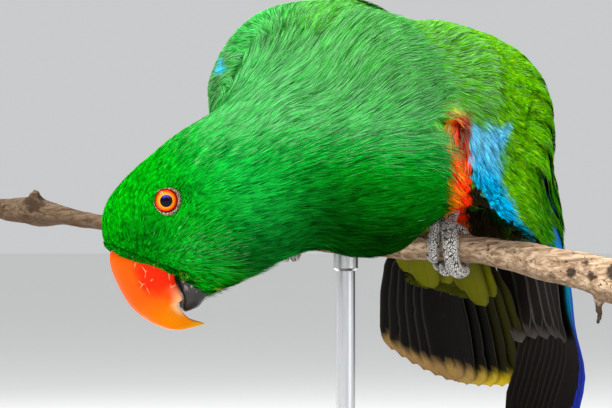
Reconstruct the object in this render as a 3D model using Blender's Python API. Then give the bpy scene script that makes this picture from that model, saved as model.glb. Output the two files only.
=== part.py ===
# A parrot gripping a short cut branch and leaning far over it, life size, on a plain display stand.
# Lengths are millimetres and angles degrees until place() turns points into metres.
# The grip, where the left foot holds the branch, is the point that the bird's sizes are counted from:
# +X is to the bird's left, -Y is in front of its breast and +Z is up.

import math
import random

import bmesh
import bpy
import numpy as np

# Driving dimensions

GRIP_ON_STAND = (28.0, -20.0, 134.0)    # the grip, from the centre of the underside of the base
SEAM_GAP = 0.3                          # space kept between neighbouring pieces
BLEND = 7.0                             # how softly the lumps of the body run into one another

BASE_SIZE = (210.0, 160.0, 10.0)
BASE_BEVEL = 1.5
ROD_RADIUS = 3.5
ROD_AT_X = -40.0                        # where along the branch the rod stands

TAIL_SLOPE = (0.13, 0.74, -0.66)        # the way the tail points
REAR_LEFT = (0.93, -0.32, -0.25)        # the bird's own left at the rump
FRONT_LEFT = (0.87, -0.47, -0.17)       # and at the shoulders, which are turned and tipped

HEAD_ORIGIN = (-109.8, -13.8, 18.9)     # the point between the two eyes
HEAD_FORWARD = (-0.342, 0.0, -0.940)    # from there along the bill
HEAD_UP = (-0.894, -0.309, 0.325)       # to the crown
HEAD_LEFT = (0.290, -0.951, -0.106)     # to the left eye

EYE_RADIUS = 5.6
EYE_DEPTH = 14.6                        # eye centre from the middle plane of the head
EYE_GAZE = (0.03, 0.155)                # how far the eyes look forward and up, for 1 to the side
LID_OPENING = 4.3
LID_THICKNESS = 1.0

BILL_BASE = 24.0                        # where the bill meets the head, forward of the eyes
BILL_BASE_SLOPE = 0.08

FEATHER_THICKNESS = 0.6
FEATHER_TIP_THICKNESS = 0.5

# Branch: distance along X, side step, height and radius at its bends and knots
BRANCH_YAW = -0.466
BRANCH_STATIONS = (
    (-178.0, 0.0, 14.5, 3.6), (-171.0, 0.5, 13.8, 4.8), (-162.0, 0.5, 13.2, 5.7),
    (-154.0, 0.0, 11.8, 4.8), (-148.0, -0.5, 11.0, 3.9), (-134.0, -0.5, 8.4, 3.5),
    (-92.0, 1.0, 4.4, 3.2), (-50.0, 0.0, 0.2, 2.9), (-35.0, -0.5, -0.3, 3.1),
    (-19.0, 0.0, -0.6, 4.2), (-9.0, 0.0, 0.0, 5.2), (1.0, 0.0, 0.0, 5.9), (9.0, 0.0, -1.2, 5.5),
    (20.0, 0.5, -3.2, 6.2), (33.0, 0.0, -6.0, 6.9), (46.0, 0.0, -8.6, 7.3),
    (56.0, 0.0, -11.8, 8.6), (64.0, 0.0, -14.6, 8.2), (71.0, 0.0, -16.6, 7.4))
BRANCH_SIDES = 12


def unit(vector):
    vector = np.asarray(vector, float)
    return vector / np.linalg.norm(vector)


def frame_along(along, left):
    """Rows left, up and along of a right-handed frame."""
    along = unit(along)
    left = np.asarray(left, float)
    left = unit(left - along * left.dot(along))
    return np.array([left, np.cross(along, left), along])


def place(points):
    return (np.asarray(points, float) + GRIP_ON_STAND) * 0.001


def head_point(forward, up, left=0.0):
    """A point given from between the eyes, along the head's own directions."""
    return (np.array(HEAD_ORIGIN) + forward * unit(HEAD_FORWARD)
            + up * unit(HEAD_UP) + left * unit(HEAD_LEFT))


def through(points, samples):
    """A smooth curve through the points, read at parameters from 0 to 1."""
    points = np.asarray(points, float)
    last = len(points) - 1
    padded = np.vstack([2 * points[0] - points[1], points, 2 * points[-1] - points[-2]])
    position = np.clip(np.atleast_1d(samples), 0.0, 1.0) * last
    index = np.minimum(position.astype(int), last - 1)
    t = (position - index)[:, None]
    a, b, c, d = (padded[index + k] for k in range(4))
    return 0.5 * (2 * b + (c - a) * t + (2 * a - 5 * b + 4 * c - d) * t ** 2
                  + (3 * b - a - 3 * c + d) * t ** 3)


def ramp(value, knots):
    """A value read from (position, value) pairs with smooth steps between them."""
    xs = [k[0] for k in knots]
    ys = [k[1] for k in knots]
    value = np.clip(value, xs[0], xs[-1])
    index = np.clip(np.searchsorted(xs, value, side="right") - 1, 0, len(xs) - 2)
    xs = np.asarray(xs)
    ys = np.asarray(ys)
    t = (value - xs[index]) / (xs[index + 1] - xs[index])
    t = t * t * (3 - 2 * t)
    return ys[index] + (ys[index + 1] - ys[index]) * t


# Objects, materials and solid operations

def start_clean():
    for thing in list(bpy.data.objects):
        bpy.data.objects.remove(thing, do_unlink=True)


def material(name, colour, roughness, metallic=0.0):
    made = bpy.data.materials.new(name)
    made.use_nodes = True
    shader = made.node_tree.nodes["Principled BSDF"]
    shader.inputs["Base Color"].default_value = (*colour, 1.0)
    shader.inputs["Roughness"].default_value = roughness
    shader.inputs["Metallic"].default_value = metallic
    return made


def new_object(name, points, faces, smooth=True):
    """Object from points in millimetres from the grip."""
    mesh = bpy.data.meshes.new(name)
    mesh.from_pydata([tuple(p) for p in place(points)], [], [tuple(f) for f in faces])
    mesh.update()
    thing = bpy.data.objects.new(name, mesh)
    bpy.context.scene.collection.objects.link(thing)
    if smooth:
        mesh.shade_smooth()
    return thing


def face_out(thing):
    """Turn all faces outward and cap open rims."""
    work = bmesh.new()
    work.from_mesh(thing.data)
    rims = [e for e in work.edges if len(e.link_faces) == 1]
    if rims:
        bmesh.ops.holes_fill(work, edges=rims)
    bmesh.ops.triangulate(work, faces=[f for f in work.faces if len(f.verts) > 4])
    bmesh.ops.recalc_face_normals(work, faces=work.faces)
    if work.calc_volume(signed=True) < 0:
        bmesh.ops.reverse_faces(work, faces=work.faces)
    work.to_mesh(thing.data)
    work.free()


def keep_side(thing, point, normal):
    """Cut by a plane and keep what lies on the side that the normal points to."""
    work = bmesh.new()
    work.from_mesh(thing.data)
    everything = list(work.verts) + list(work.edges) + list(work.faces)
    bmesh.ops.bisect_plane(work, geom=everything, dist=1e-7, plane_co=tuple(place(point)),
                           plane_no=tuple(unit(normal)), clear_inner=True)
    rims = [e for e in work.edges if len(e.link_faces) == 1]
    bmesh.ops.holes_fill(work, edges=rims)
    bmesh.ops.dissolve_degenerate(work, dist=1e-6, edges=work.edges)
    work.to_mesh(thing.data)
    work.free()
    face_out(thing)


def take_evaluated(thing):
    """Apply the modifiers of an object."""
    graph = bpy.context.evaluated_depsgraph_get()
    graph.update()
    mesh = bpy.data.meshes.new_from_object(thing.evaluated_get(graph))
    thing.modifiers.clear()
    thing.data = mesh


def keep_largest(thing):
    """Keep the largest closed surface of an object."""
    work = bmesh.new()
    work.from_mesh(thing.data)
    groups = []
    seen = set()
    for first in work.faces:
        if first in seen:
            continue
        group = [first]
        seen.add(first)
        for face in group:
            for edge in face.edges:
                for other in edge.link_faces:
                    if other not in seen:
                        seen.add(other)
                        group.append(other)
        groups.append(group)
    groups.sort(key=lambda group: sum(f.calc_area() for f in group))
    loose = [face for group in groups[:-1] for face in group]
    bmesh.ops.delete(work, geom=loose, context="FACES")
    bmesh.ops.triangulate(work, faces=work.faces)
    bmesh.ops.dissolve_degenerate(work, dist=2e-6, edges=work.edges)
    bmesh.ops.triangulate(work, faces=work.faces)
    work.to_mesh(thing.data)
    work.free()


def combine(thing, others, operation="UNION", solver="MANIFOLD"):
    """One Boolean between an object and a collection of closed meshes, applied."""
    pieces = bpy.data.collections.new("pieces of " + thing.name)
    bpy.context.scene.collection.children.link(pieces)
    for other in others:
        pieces.objects.link(other)
    cut = thing.modifiers.new("join", "BOOLEAN")
    cut.operand_type = "COLLECTION"
    cut.collection = pieces
    cut.operation = operation
    cut.solver = solver
    take_evaluated(thing)
    for other in others:
        bpy.data.objects.remove(other, do_unlink=True)
    bpy.data.collections.remove(pieces)
    keep_largest(thing)


def inflated(thing, amount):
    """A copy whose faces stand off by the amount, to cut a neighbour clear of it."""
    copy = thing.copy()
    copy.data = thing.data.copy()
    bpy.context.scene.collection.objects.link(copy)
    work = bmesh.new()
    work.from_mesh(copy.data)
    moves = []
    for vertex in work.verts:
        lean = min(vertex.normal.dot(face.normal) for face in vertex.link_faces)
        moves.append(vertex.normal * amount * 0.001 / max(lean, 0.4))
    for vertex, move in zip(work.verts, moves):
        vertex.co += move
    work.to_mesh(copy.data)
    work.free()
    return copy


def tube(centres, radii, sides, name, side_hint=(0.0, 0.0, 1.0), squash=1.0, bumps=None):
    """Closed tube of round or flattened rings along the centres."""
    centres = np.asarray(centres, float)
    count = len(centres)
    tangents = np.gradient(centres, axis=0)
    points = []
    hint = unit(side_hint)
    for i in range(count):
        along = unit(tangents[i])
        hint = unit(hint - along * hint.dot(along))
        side = np.cross(along, hint)
        for k in range(sides):
            angle = 2 * math.pi * k / sides
            radius = radii[i] * (1.0 if bumps is None else bumps(i, k))
            points.append(centres[i] + radius * (math.cos(angle) * side
                                                 + squash * math.sin(angle) * hint))
    faces = []
    for i in range(count - 1):
        for k in range(sides):
            a = i * sides + k
            b = i * sides + (k + 1) % sides
            faces.append((a, b, b + sides, a + sides))
    faces.append(tuple(range(sides))[::-1])
    faces.append(tuple((count - 1) * sides + k for k in range(sides)))
    thing = new_object(name, points, faces)
    face_out(thing)
    return thing


def ball(centre, radii, axes, rings, sides, name):
    """Closed ellipsoid with rows left, up and along."""
    points = [np.array([0.0, 0.0, 1.0])]
    for i in range(1, rings):
        polar = math.pi * i / rings
        for k in range(sides):
            turn = 2 * math.pi * k / sides
            points.append(np.array([math.sin(polar) * math.cos(turn),
                                    math.sin(polar) * math.sin(turn), math.cos(polar)]))
    points.append(np.array([0.0, 0.0, -1.0]))
    last = len(points) - 1
    faces = []
    for k in range(sides):
        n = (k + 1) % sides
        faces.append((0, 1 + k, 1 + n))
        faces.append((last, last - sides + n, last - sides + k))
        for i in range(rings - 2):
            a = 1 + i * sides
            faces.append((a + k, a + sides + k, a + sides + n, a + n))
    world = np.array(points) * radii @ np.asarray(axes) + centre
    thing = new_object(name, world, faces)
    face_out(thing)
    return thing


# The body is a soft blend of ellipsoids: centre, radii (sideways, up, along), the way it points, its left

BODY_LUMPS = {
    "tail_root": ((-7.0, 60.0, 21.0), (18.0, 10.0, 24.0), TAIL_SLOPE, REAR_LEFT),
    "rump": ((-13.0, 42.0, 36.0), (30.0, 23.0, 28.0), (0.30, 0.80, -0.50), REAR_LEFT),
    "loin": ((-20.0, 26.0, 44.0), (36.0, 32.0, 30.0), (0.42, 0.85, -0.30), REAR_LEFT),
    "trunk": ((-28.0, 9.0, 48.0), (40.0, 38.0, 30.0), (0.45, 0.88, -0.10), FRONT_LEFT),
    "shoulders": ((-38.0, -5.0, 50.0), (41.0, 40.0, 26.0), (0.47, 0.88, 0.00), FRONT_LEFT),
    "breast": ((-33.0, -20.0, 37.0), (32.0, 42.5, 27.0), (0.47, 0.88, 0.00), FRONT_LEFT),
    "belly": ((-24.0, 4.0, 25.0), (29.0, 20.0, 30.0), (0.40, 0.90, -0.10), FRONT_LEFT),
    "vent": ((-11.0, 44.0, 24.0), (24.0, 15.0, 26.0), (0.25, 0.82, -0.50), REAR_LEFT),
    "left_flank": ((-5.0, -7.0, 33.0), (12.0, 23.0, 19.0), (0.35, 0.93, -0.10), FRONT_LEFT),
    "low_breast": ((-24.0, -20.0, 17.0), (14.0, 20.0, 15.0), (0.47, 0.88, 0.00), FRONT_LEFT),
    "neck_base": ((-56.0, -19.0, 35.0), (29.0, 33.0, 26.0), (0.85, 0.15, 0.50), (0.1, -1.0, 0.0)),
    "neck": ((-72.0, -17.0, 24.5), (26.0, 31.5, 24.0), (0.88, 0.05, 0.47), (0.2, -1.0, 0.0)),
    "nape": ((-86.0, -15.0, 17.0), (23.5, 30.0, 22.0), (0.86, 0.00, 0.51), (0.25, -1.0, 0.0)),
    "skull": (tuple(head_point(2.5, -9.0)), (20.5, 21.0, 23.0), HEAD_FORWARD, HEAD_LEFT),
    "forehead": (tuple(head_point(15.5, -1.5)), (12.5, 14.5, 15.0), HEAD_FORWARD, HEAD_LEFT),
    "cheeks": (tuple(head_point(13.0, -17.0)), (15.5, 15.0, 15.0), HEAD_FORWARD, HEAD_LEFT),
    "throat": (tuple(head_point(11.0, -30.0)), (12.0, 14.0, 14.0), HEAD_FORWARD, HEAD_LEFT),
}

# Planes that part the body: a point on the cut and the side that the normal points to
NECK_CUT = ((-90.0, -14.0, 18.0), (0.93, 0.05, 0.36))
SHOULDER_CUT = ((-61.0, -19.0, 31.0), (0.78, 0.42, 0.46))
TAIL_CUT = ((-8.0, 61.0, 21.0), TAIL_SLOPE)


def ellipsoid_distance(points, centre, radii, axes):
    local = (points - np.asarray(centre)) @ axes.T
    radii = np.asarray(radii)
    near = np.linalg.norm(local / radii, axis=1)
    slope = np.linalg.norm(local / radii ** 2, axis=1)
    return near * (near - 1.0) / np.maximum(slope, 1e-6)


def body_distance(points):
    """Distance outside the feathered body, negative inside it."""
    distance = None
    for centre, radii, along, left in BODY_LUMPS.values():
        lump = ellipsoid_distance(points, centre, radii, frame_along(along, left))
        if distance is None:
            distance = lump
            continue
        share = np.clip(0.5 + 0.5 * (lump - distance) / BLEND, 0.0, 1.0)
        distance = lump + (distance - lump) * share - BLEND * share * (1.0 - share)
    return distance


def body_slope(points):
    """The way out of the body at each point, with its steepness."""
    step = 0.05
    slope = np.zeros_like(points)
    for axis in range(3):
        move = np.zeros(3)
        move[axis] = step
        slope[:, axis] = (body_distance(points + move) - body_distance(points - move)) / (2 * step)
    return slope


def onto_body(points, height=0.0):
    """Points drawn to a height above the surface of the body."""
    points = np.array(points, float)
    for _ in range(4):
        slope = body_slope(points)
        steep = np.maximum((slope ** 2).sum(axis=1), 1e-6)
        points -= ((body_distance(points) - height) / steep)[:, None] * slope
    return points


def body_surface(low, high, cell):
    """Quads where the body's surface crosses a grid of cells."""
    axes = [np.arange(lo, hi + cell, cell) for lo, hi in zip(low, high)]
    grid = np.stack(np.meshgrid(*axes, indexing="ij"), axis=-1)
    shape = grid.shape[:3]
    inside = (body_distance(grid.reshape(-1, 3)) < 0.0).reshape(shape)
    counts = np.zeros([n - 1 for n in shape], int)
    for i in (0, 1):
        for j in (0, 1):
            for k in (0, 1):
                counts += inside[i:shape[0] - 1 + i, j:shape[1] - 1 + j, k:shape[2] - 1 + k]
    crossed = (counts > 0) & (counts < 8)
    number = -np.ones(crossed.shape, int)
    number[crossed] = np.arange(crossed.sum())
    middles = grid[:-1, :-1, :-1][crossed] + cell / 2
    faces = []
    for axis in range(3):
        a, b = [n for n in range(3) if n != axis]
        first = np.take(inside, range(shape[axis] - 1), axis)
        second = np.take(inside, range(1, shape[axis]), axis)
        for index in np.argwhere(first != second):
            if index[a] == 0 or index[b] == 0:
                continue
            if index[a] >= crossed.shape[a] or index[b] >= crossed.shape[b]:
                continue
            around = []
            for da, db in ((1, 1), (0, 1), (0, 0), (1, 0)):
                corner = index.copy()
                corner[a] -= da
                corner[b] -= db
                around.append(number[tuple(corner)])
            if min(around) >= 0:
                faces.append(tuple(around))
    return onto_body(middles), faces


def flesh(name, low, high, cell, keeps):
    """One feathered length of the body between parting planes."""
    points, faces = body_surface(low, high, cell)
    thing = new_object(name, points, faces)
    face_out(thing)
    for point, normal in keeps:
        keep_side(thing, point, normal)
    keep_largest(thing)
    thing.data.shade_smooth()
    return thing


def shifted(cut, side):
    """A parting plane seen from one side, half the gap away from the cut."""
    point, normal = cut
    normal = unit(normal)
    return np.array(point) + side * normal * SEAM_GAP / 2, side * normal


# Branch and stand

def branch_centre(x):
    knots = [(s[0], s[1]) for s in BRANCH_STATIONS]
    heights = [(s[0], s[2]) for s in BRANCH_STATIONS]
    return np.array([x, BRANCH_YAW * x + float(ramp(x, knots)), float(ramp(x, heights))])


def branch_radius(x):
    return float(ramp(x, [(s[0], s[3]) for s in BRANCH_STATIONS]))


def make_branch(grow=0.0):
    """The cut length of branch, with a knot and a twig stub; grown by a little, it cuts its neighbours."""
    xs = sorted(set([s[0] for s in BRANCH_STATIONS] + [-120.0, -106.0, -78.0, -64.0, -27.0, 26.0]))
    dice = random.Random(5)
    lumps = [[1.0 + dice.uniform(-0.07, 0.07) for _ in range(BRANCH_SIDES)] for _ in xs]
    grip = [abs(x) < 14.0 or abs(x + 62.0) < 12.0 for x in xs]
    centres = [branch_centre(x) for x in xs]
    radii = [branch_radius(x) + grow for x in xs]
    branch = tube(centres, radii, BRANCH_SIDES, "perch",
                  bumps=lambda i, k: 0.97 if grip[i] else lumps[i][k])
    stub_root = branch_centre(50.0)
    stub = tube([stub_root, stub_root + (0.5, -1.0, -9.0), stub_root + (1.0, -1.5, -15.0),
                 stub_root + (0.0, -2.0, -18.5)], [r + grow for r in (3.2, 2.2, 1.7, 1.2)], 7, "stub")
    knot_root = branch_centre(-161.0)
    knot = tube([knot_root, knot_root + (0.5, -1.0, 5.0), knot_root + (1.0, -1.5, 8.4)],
                [r + grow for r in (4.2, 3.0, 1.5)], 7, "knot", side_hint=(1.0, 0.0, 0.0))
    combine(branch, [stub, knot])
    return branch


def make_stand():
    """A flat base, and one rod up to a saddle under the branch."""
    bottom = -GRIP_ON_STAND[2]
    middle = np.array([-GRIP_ON_STAND[0], -GRIP_ON_STAND[1], bottom + BASE_SIZE[2] / 2])
    base_mesh = bpy.data.meshes.new("stand_base")
    work = bmesh.new()
    bmesh.ops.create_cube(work, size=1.0)
    for vertex in work.verts:
        vertex.co = place(middle + np.array(vertex.co) * BASE_SIZE).tolist()
    upright = [e for e in work.edges if abs(e.verts[0].co.z - e.verts[1].co.z) > 0.005]
    bmesh.ops.bevel(work, geom=upright, offset=0.012, segments=5, profile=0.5, affect="EDGES")
    top = max(v.co.z for v in work.verts)
    rim = [e for e in work.edges if all(abs(v.co.z - top) < 1e-6 for v in e.verts)]
    bmesh.ops.bevel(work, geom=rim, offset=BASE_BEVEL * 0.001, segments=2, profile=0.5, affect="EDGES")
    work.to_mesh(base_mesh)
    work.free()
    base = bpy.data.objects.new("stand_base", base_mesh)
    bpy.context.scene.collection.objects.link(base)
    face_out(base)
    top_point = branch_centre(ROD_AT_X)
    foot = np.array([top_point[0], top_point[1], bottom + BASE_SIZE[2] + SEAM_GAP])
    collar = foot + (0.0, 0.0, 4.0)
    rod = tube([foot, collar, collar + (0.0, 0.0, 0.6), top_point - (0.0, 0.0, 9.0),
                top_point - (0.0, 0.0, 8.0), top_point - (0.0, 0.0, 0.4)],
               [8.0, 8.0, ROD_RADIUS, ROD_RADIUS, 4.6, 4.6], 20, "stand_rod", side_hint=(0.0, 1.0, 0.0))
    combine(rod, [make_branch(SEAM_GAP)], "DIFFERENCE")


# Feathers

VANE_STOPS = (0.0, 0.4, 0.84, 1.0)
VANE_OUTLINE = ((0.0, 0.4), (0.4, 0.95), (0.84, 0.92), (1.0, 0.34))


def vane(name, centres, across, normals, width):
    """A flat feather: narrow at its root, full in the middle and rounded at its tip."""
    points = []
    for i, (stop, share) in enumerate(VANE_OUTLINE):
        half = 0.5 * width * share
        thick = FEATHER_THICKNESS + (FEATHER_TIP_THICKNESS - FEATHER_THICKNESS) * stop ** 2
        for side in (-1.0, 1.0):
            for face in (-0.5, 0.5):
                points.append(centres[i] + across[i] * half * side + normals[i] * thick * face)
    faces = [(0, 1, 3), (0, 3, 2)]
    for i in range(len(VANE_OUTLINE) - 1):
        a = 4 * i
        b = a + 4
        faces += [(a, a + 2, b + 2), (a, b + 2, b)]
        faces += [(a + 1, b + 3, a + 3), (a + 1, b + 1, b + 3)]
        faces += [(a, b, b + 1), (a, b + 1, a + 1)]
        faces += [(a + 2, a + 3, b + 3), (a + 2, b + 3, b + 2)]
    a = 4 * (len(VANE_OUTLINE) - 1)
    faces += [(a, a + 2, a + 3), (a, a + 3, a + 1)]
    thing = new_object(name, points, faces, smooth=False)
    face_out(thing)
    return thing


# Folded wings. The leading edge runs from the wrist to the tip of the longest flight feather; from it
# the wing is wrapped round the body toward the back.

WINGS = {
    "left": {
        "hand": 1.0,
        "edge": ((3.0, -39.0, 47.0), (6.0, -28.0, 25.0), (15.0, -14.0, 11.5), (31.0, 5.0, 0.5),
                 (45.0, 30.0, -16.0), (51.5, 60.0, -38.5), (57.0, 90.0, -61.0), (49.0, 126.0, -95.0)),
        "back": ((-28.0, -22.0, 77.0), (-23.0, 0.0, 82.0), (-15.0, 20.0, 78.0), (-4.0, 42.0, 65.0),
                 (7.0, 60.0, 44.0), (19.0, 82.0, 12.0), (30.0, 106.0, -32.0), (23.0, 130.0, -80.0)),
        "bulge": ((0.0, 9.0), (0.14, 23.0), (0.36, 26.0), (0.5, 14.0), (0.7, 5.0), (1.0, 1.0)),
    },
    "right": {
        "hand": -1.0,
        "edge": ((-86.0, 4.0, 58.0), (-88.0, 20.0, 42.0), (-83.0, 38.0, 31.0), (-69.0, 60.0, 24.0),
                 (-51.0, 84.0, 13.0), (-33.0, 108.0, -5.0), (-14.0, 134.0, -26.0), (5.0, 160.0, -49.0)),
        "back": ((-52.0, -16.0, 84.0), (-33.0, 4.0, 89.0), (-20.0, 23.0, 85.0), (-11.0, 45.0, 70.0),
                 (-6.0, 68.0, 50.0), (2.0, 94.0, 27.0), (9.0, 126.0, 0.0), (12.0, 158.0, -41.0)),
        "bulge": ((0.0, 18.0), (0.14, 27.0), (0.36, 22.0), (0.5, 15.0), (0.7, 8.0), (1.0, 1.0)),
    },
}
WING_THICKNESS = ((0.0, 10.0), (0.3, 8.0), (0.5, 2.4), (0.7, 1.0), (1.0, 0.6))
WING_CORE_REACH = 0.44


def wing_sheet(wing, u, v):
    """Point, way along, way up the chord and way out of the wing at u along it and v across it."""
    step = 0.01

    def spot(a, b):
        edge = through(wing["edge"], a)[0]
        back = through(wing["back"], a)[0]
        ahead = through(wing["edge"], a + step)[0] - through(wing["edge"], a - step)[0]
        out = unit(np.cross(ahead, back - edge)) * wing["hand"]
        swell = float(ramp(a, wing["bulge"])) * math.sin(math.pi * max(b, 0.0) ** 1.3)
        return edge + (back - edge) * b + out * swell

    u = min(max(u, step), 1.0 - step)
    point = spot(u, v)
    along = unit(spot(u + step, v) - spot(u - step, v))
    over = unit(spot(u, v + step) - spot(u, v - step))
    normal = unit(np.cross(along, over)) * wing["hand"]
    return point, along, over, normal


def wing_lift(u, v):
    """How far the solid wing stands outside and inside its sheet, sinking into the body at its rims."""
    thick = float(ramp(u, WING_THICKNESS))
    rounding = math.sqrt(max(0.0, 1.0 - abs(2 * v - 1.0) ** 3.0))
    sunk = 7.0 * max(0.0, 1.0 - u / 0.09) ** 2
    sunk += 5.0 * max(0.0, (v - 0.84) / 0.16) ** 2 * max(0.0, 1.0 - u / 0.62)
    return (0.15 + 0.35 * rounding) * thick - sunk, (0.15 + 0.60 * rounding) * thick + sunk


def wing_core(wing, name):
    """The solid wing under its feathers, from the wrist to half way along it."""
    rows = np.linspace(0.0, WING_CORE_REACH, 7)
    columns = np.linspace(0.0, 1.0, 8)
    outer = []
    inner = []
    for u in rows:
        for v in columns:
            point, _, _, normal = wing_sheet(wing, u, v)
            above, below = wing_lift(u, v)
            outer.append(point + normal * above)
            inner.append(point - normal * below)
    count = len(outer)
    wide = len(columns)
    faces = []
    for i in range(len(rows) - 1):
        for k in range(wide - 1):
            a = i * wide + k
            faces.append((a, a + 1, a + wide + 1, a + wide))
            faces.append((count + a, count + a + wide, count + a + wide + 1, count + a + 1))
    rim = [k for k in range(wide)]
    rim += [i * wide + wide - 1 for i in range(1, len(rows))]
    rim += [(len(rows) - 1) * wide + k for k in range(wide - 2, -1, -1)]
    rim += [i * wide for i in range(len(rows) - 2, 0, -1)]
    for a, b in zip(rim, rim[1:] + rim[:1]):
        faces.append((a, b, count + b, count + a))
    thing = new_object(name, outer + inner, faces)
    face_out(thing)
    return thing


def wing_feather(wing, root, tip, width, lift, tilt=10.0):
    """One feather over the wing: from a sunk root to a tip, with its lower edge over its neighbour."""
    centres = []
    normals = []
    overs = []
    for s in VANE_STOPS:
        u = root[0] + (tip[0] - root[0]) * s
        v = root[1] + (tip[1] - root[1]) * s
        point, _, over, normal = wing_sheet(wing, u, v)
        rise = float(ramp(s, ((0.0, -1.2), (0.35, 0.8 * lift), (1.0, lift))))
        centres.append(point + normal * (wing_lift(u, v)[0] + rise))
        normals.append(normal)
        overs.append(over)
    ways = np.gradient(np.array(centres), axis=0)
    lean = math.radians(tilt)
    across = []
    faces_up = []
    for way, normal, over in zip(ways, normals, overs):
        side = unit(over - unit(way) * over.dot(unit(way)))
        up = unit(normal - unit(way) * normal.dot(unit(way)))
        across.append(side * math.cos(lean) - up * math.sin(lean))
        faces_up.append(up * math.cos(lean) + side * math.sin(lean))
    return vane("feather", centres, across, faces_up, width)


# Rows of wing feathers: how many, first and last root, first and last tip (each along, across),
# width, and the first and last height of the tips
WING_ROWS = (
    (8, (0.34, 0.10), (0.37, 0.60), (0.995, 0.28), (0.90, 0.90), 12.0, 0.3, 0.3),
    (7, (0.20, 0.28), (0.32, 0.90), (0.64, 0.36), (0.76, 0.95), 13.0, 2.4, 1.8),
    (6, (0.09, 0.22), (0.19, 0.86), (0.37, 0.32), (0.44, 0.92), 14.0, 3.8, 3.0),
    (3, (0.13, 0.05), (0.16, 0.18), (0.45, 0.06), (0.40, 0.22), 11.0, 1.4, 1.8),
    (2, (0.03, 0.05), (0.04, 0.15), (0.24, 0.05), (0.22, 0.16), 11.0, 2.2, 2.6),
)


def make_wing(side, keep_clear):
    """The solid wing, cut clear of the body, with its feathers in rows."""
    wing = WINGS[side]
    core = wing_core(wing, "wing_" + side)
    feathers = []
    dice = random.Random(11)
    for count, root_a, root_b, tip_a, tip_b, width, lift_a, lift_b in WING_ROWS:
        for k in range(count):
            share = k / (count - 1)
            stagger = dice.uniform(-0.006, 0.006)
            root = [a + (b - a) * share for a, b in zip(root_a, root_b)]
            tip = [a + (b - a) * share for a, b in zip(tip_a, tip_b)]
            tip[0] = min(tip[0] + stagger, 0.998)
            feathers.append(wing_feather(wing, root, tip, width, lift_a + (lift_b - lift_a) * share))
    combine(core, feathers)
    combine(core, [inflated(other, SEAM_GAP) for other in keep_clear], "DIFFERENCE")
    core.data.shade_smooth()
    return core


# Tail

TAIL_LENGTH = 119.0
TAIL_FEATHERS = 10
TAIL_FEATHER_WIDTH = 17.0
TAIL_SPREAD = 2.1                       # angle between neighbouring feathers
TAIL_STEP = 1.7                         # and the space between their roots
# The solid tail under its feathers: distance along it, half width and thickness
TAIL_CORE = ((4.0, 12.0, 9.0), (20.0, 14.0, 7.5), (36.0, 15.5, 5.0), (50.0, 16.0, 2.6),
             (57.0, 15.5, 1.0))
TAIL_CORE_SIDES = 12
# Rows of coverts on the tail: how many, side (1 above, -1 below), start along it, length, width,
# angle between neighbours, height at the tip
TAIL_COVERTS = ((4, 1.0, 4.0, 42.0, 14.0, 6.0, 5.4), (4, -1.0, 4.0, 60.0, 15.0, 6.0, 4.6))


def tail_feather(start, frame, angle, step, begin, length, width, heights, tilt):
    """One feather of the fan, from a beginning along the tail, at an angle from its middle."""
    left, up, along = frame
    turn = math.radians(angle)
    way = along * math.cos(turn) + left * math.sin(turn)
    side = left * math.cos(turn) - along * math.sin(turn)
    lean = math.radians(tilt)
    centres = []
    for s in VANE_STOPS:
        rise = float(ramp(s, ((0.0, heights[0]), (0.35, heights[1]), (1.0, heights[2]))))
        centres.append(start + along * begin + left * step + way * length * s + up * rise)
    across = [side * math.cos(lean) + up * math.sin(lean)] * len(VANE_STOPS)
    normals = [up * math.cos(lean) - side * math.sin(lean)] * len(VANE_STOPS)
    return vane("feather", centres, across, normals, width)


def tail_core(start, frame):
    """The wedge that the tail feathers grow from."""
    left, up, along = frame
    points = []
    for reach, half, thick in TAIL_CORE:
        for k in range(TAIL_CORE_SIDES):
            angle = 2 * math.pi * k / TAIL_CORE_SIDES
            points.append(start + along * reach + left * half * math.cos(angle)
                          + up * thick / 2 * math.sin(angle))
    faces = [tuple(range(TAIL_CORE_SIDES))[::-1],
             tuple(len(points) - TAIL_CORE_SIDES + k for k in range(TAIL_CORE_SIDES))]
    for i in range(len(TAIL_CORE) - 1):
        for k in range(TAIL_CORE_SIDES):
            a = TAIL_CORE_SIDES * i + k
            b = TAIL_CORE_SIDES * i + (k + 1) % TAIL_CORE_SIDES
            faces.append((a, b, b + TAIL_CORE_SIDES, a + TAIL_CORE_SIDES))
    core = new_object("core", points, faces)
    face_out(core)
    return core


def make_tail():
    """The root of the tail as one with the body's form, then its feathers in a fan under coverts."""
    left, belly_side, along = frame_along(TAIL_SLOPE, REAR_LEFT)
    frame = (left, -belly_side, along)
    start = np.array(TAIL_CUT[0])
    tail = flesh("tail", (-40, 40, -25), (30, 100, 50), 5.0, [shifted(TAIL_CUT, 1.0)])
    pieces = [tail_core(start, frame)]
    middle = (TAIL_FEATHERS - 1) / 2
    buried = 36.0
    for k in range(TAIL_FEATHERS):
        step = k - middle
        length = TAIL_LENGTH - buried - 0.35 * step ** 2
        height = 0.8 if step == 0.5 else 0.0
        pieces.append(tail_feather(start, frame, step * TAIL_SPREAD,
                                   step * (TAIL_STEP + buried * math.sin(math.radians(TAIL_SPREAD))),
                                   buried, length, TAIL_FEATHER_WIDTH,
                                   (height, height, height - 1.5), math.copysign(11.0, step)))
    for count, face, begin, length, width, spread, height in TAIL_COVERTS:
        for k in range(count):
            step = k - (count - 1) / 2
            tilt = -face * math.copysign(5.0, step) if step else 0.0
            pieces.append(tail_feather(
                start, frame, step * spread, step * 2.5, begin, length, width,
                (face * 2.5, face * height * 0.9, face * height), tilt))
    combine(tail, pieces)
    tail.data.shade_smooth()
    return tail


# Head pieces

def eye_centre(side):
    return head_point(0.0, 0.0, side * EYE_DEPTH)


def eye_gaze(side):
    forward, up = EYE_GAZE
    return unit(forward * unit(HEAD_FORWARD) + up * unit(HEAD_UP) + side * unit(HEAD_LEFT))


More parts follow.
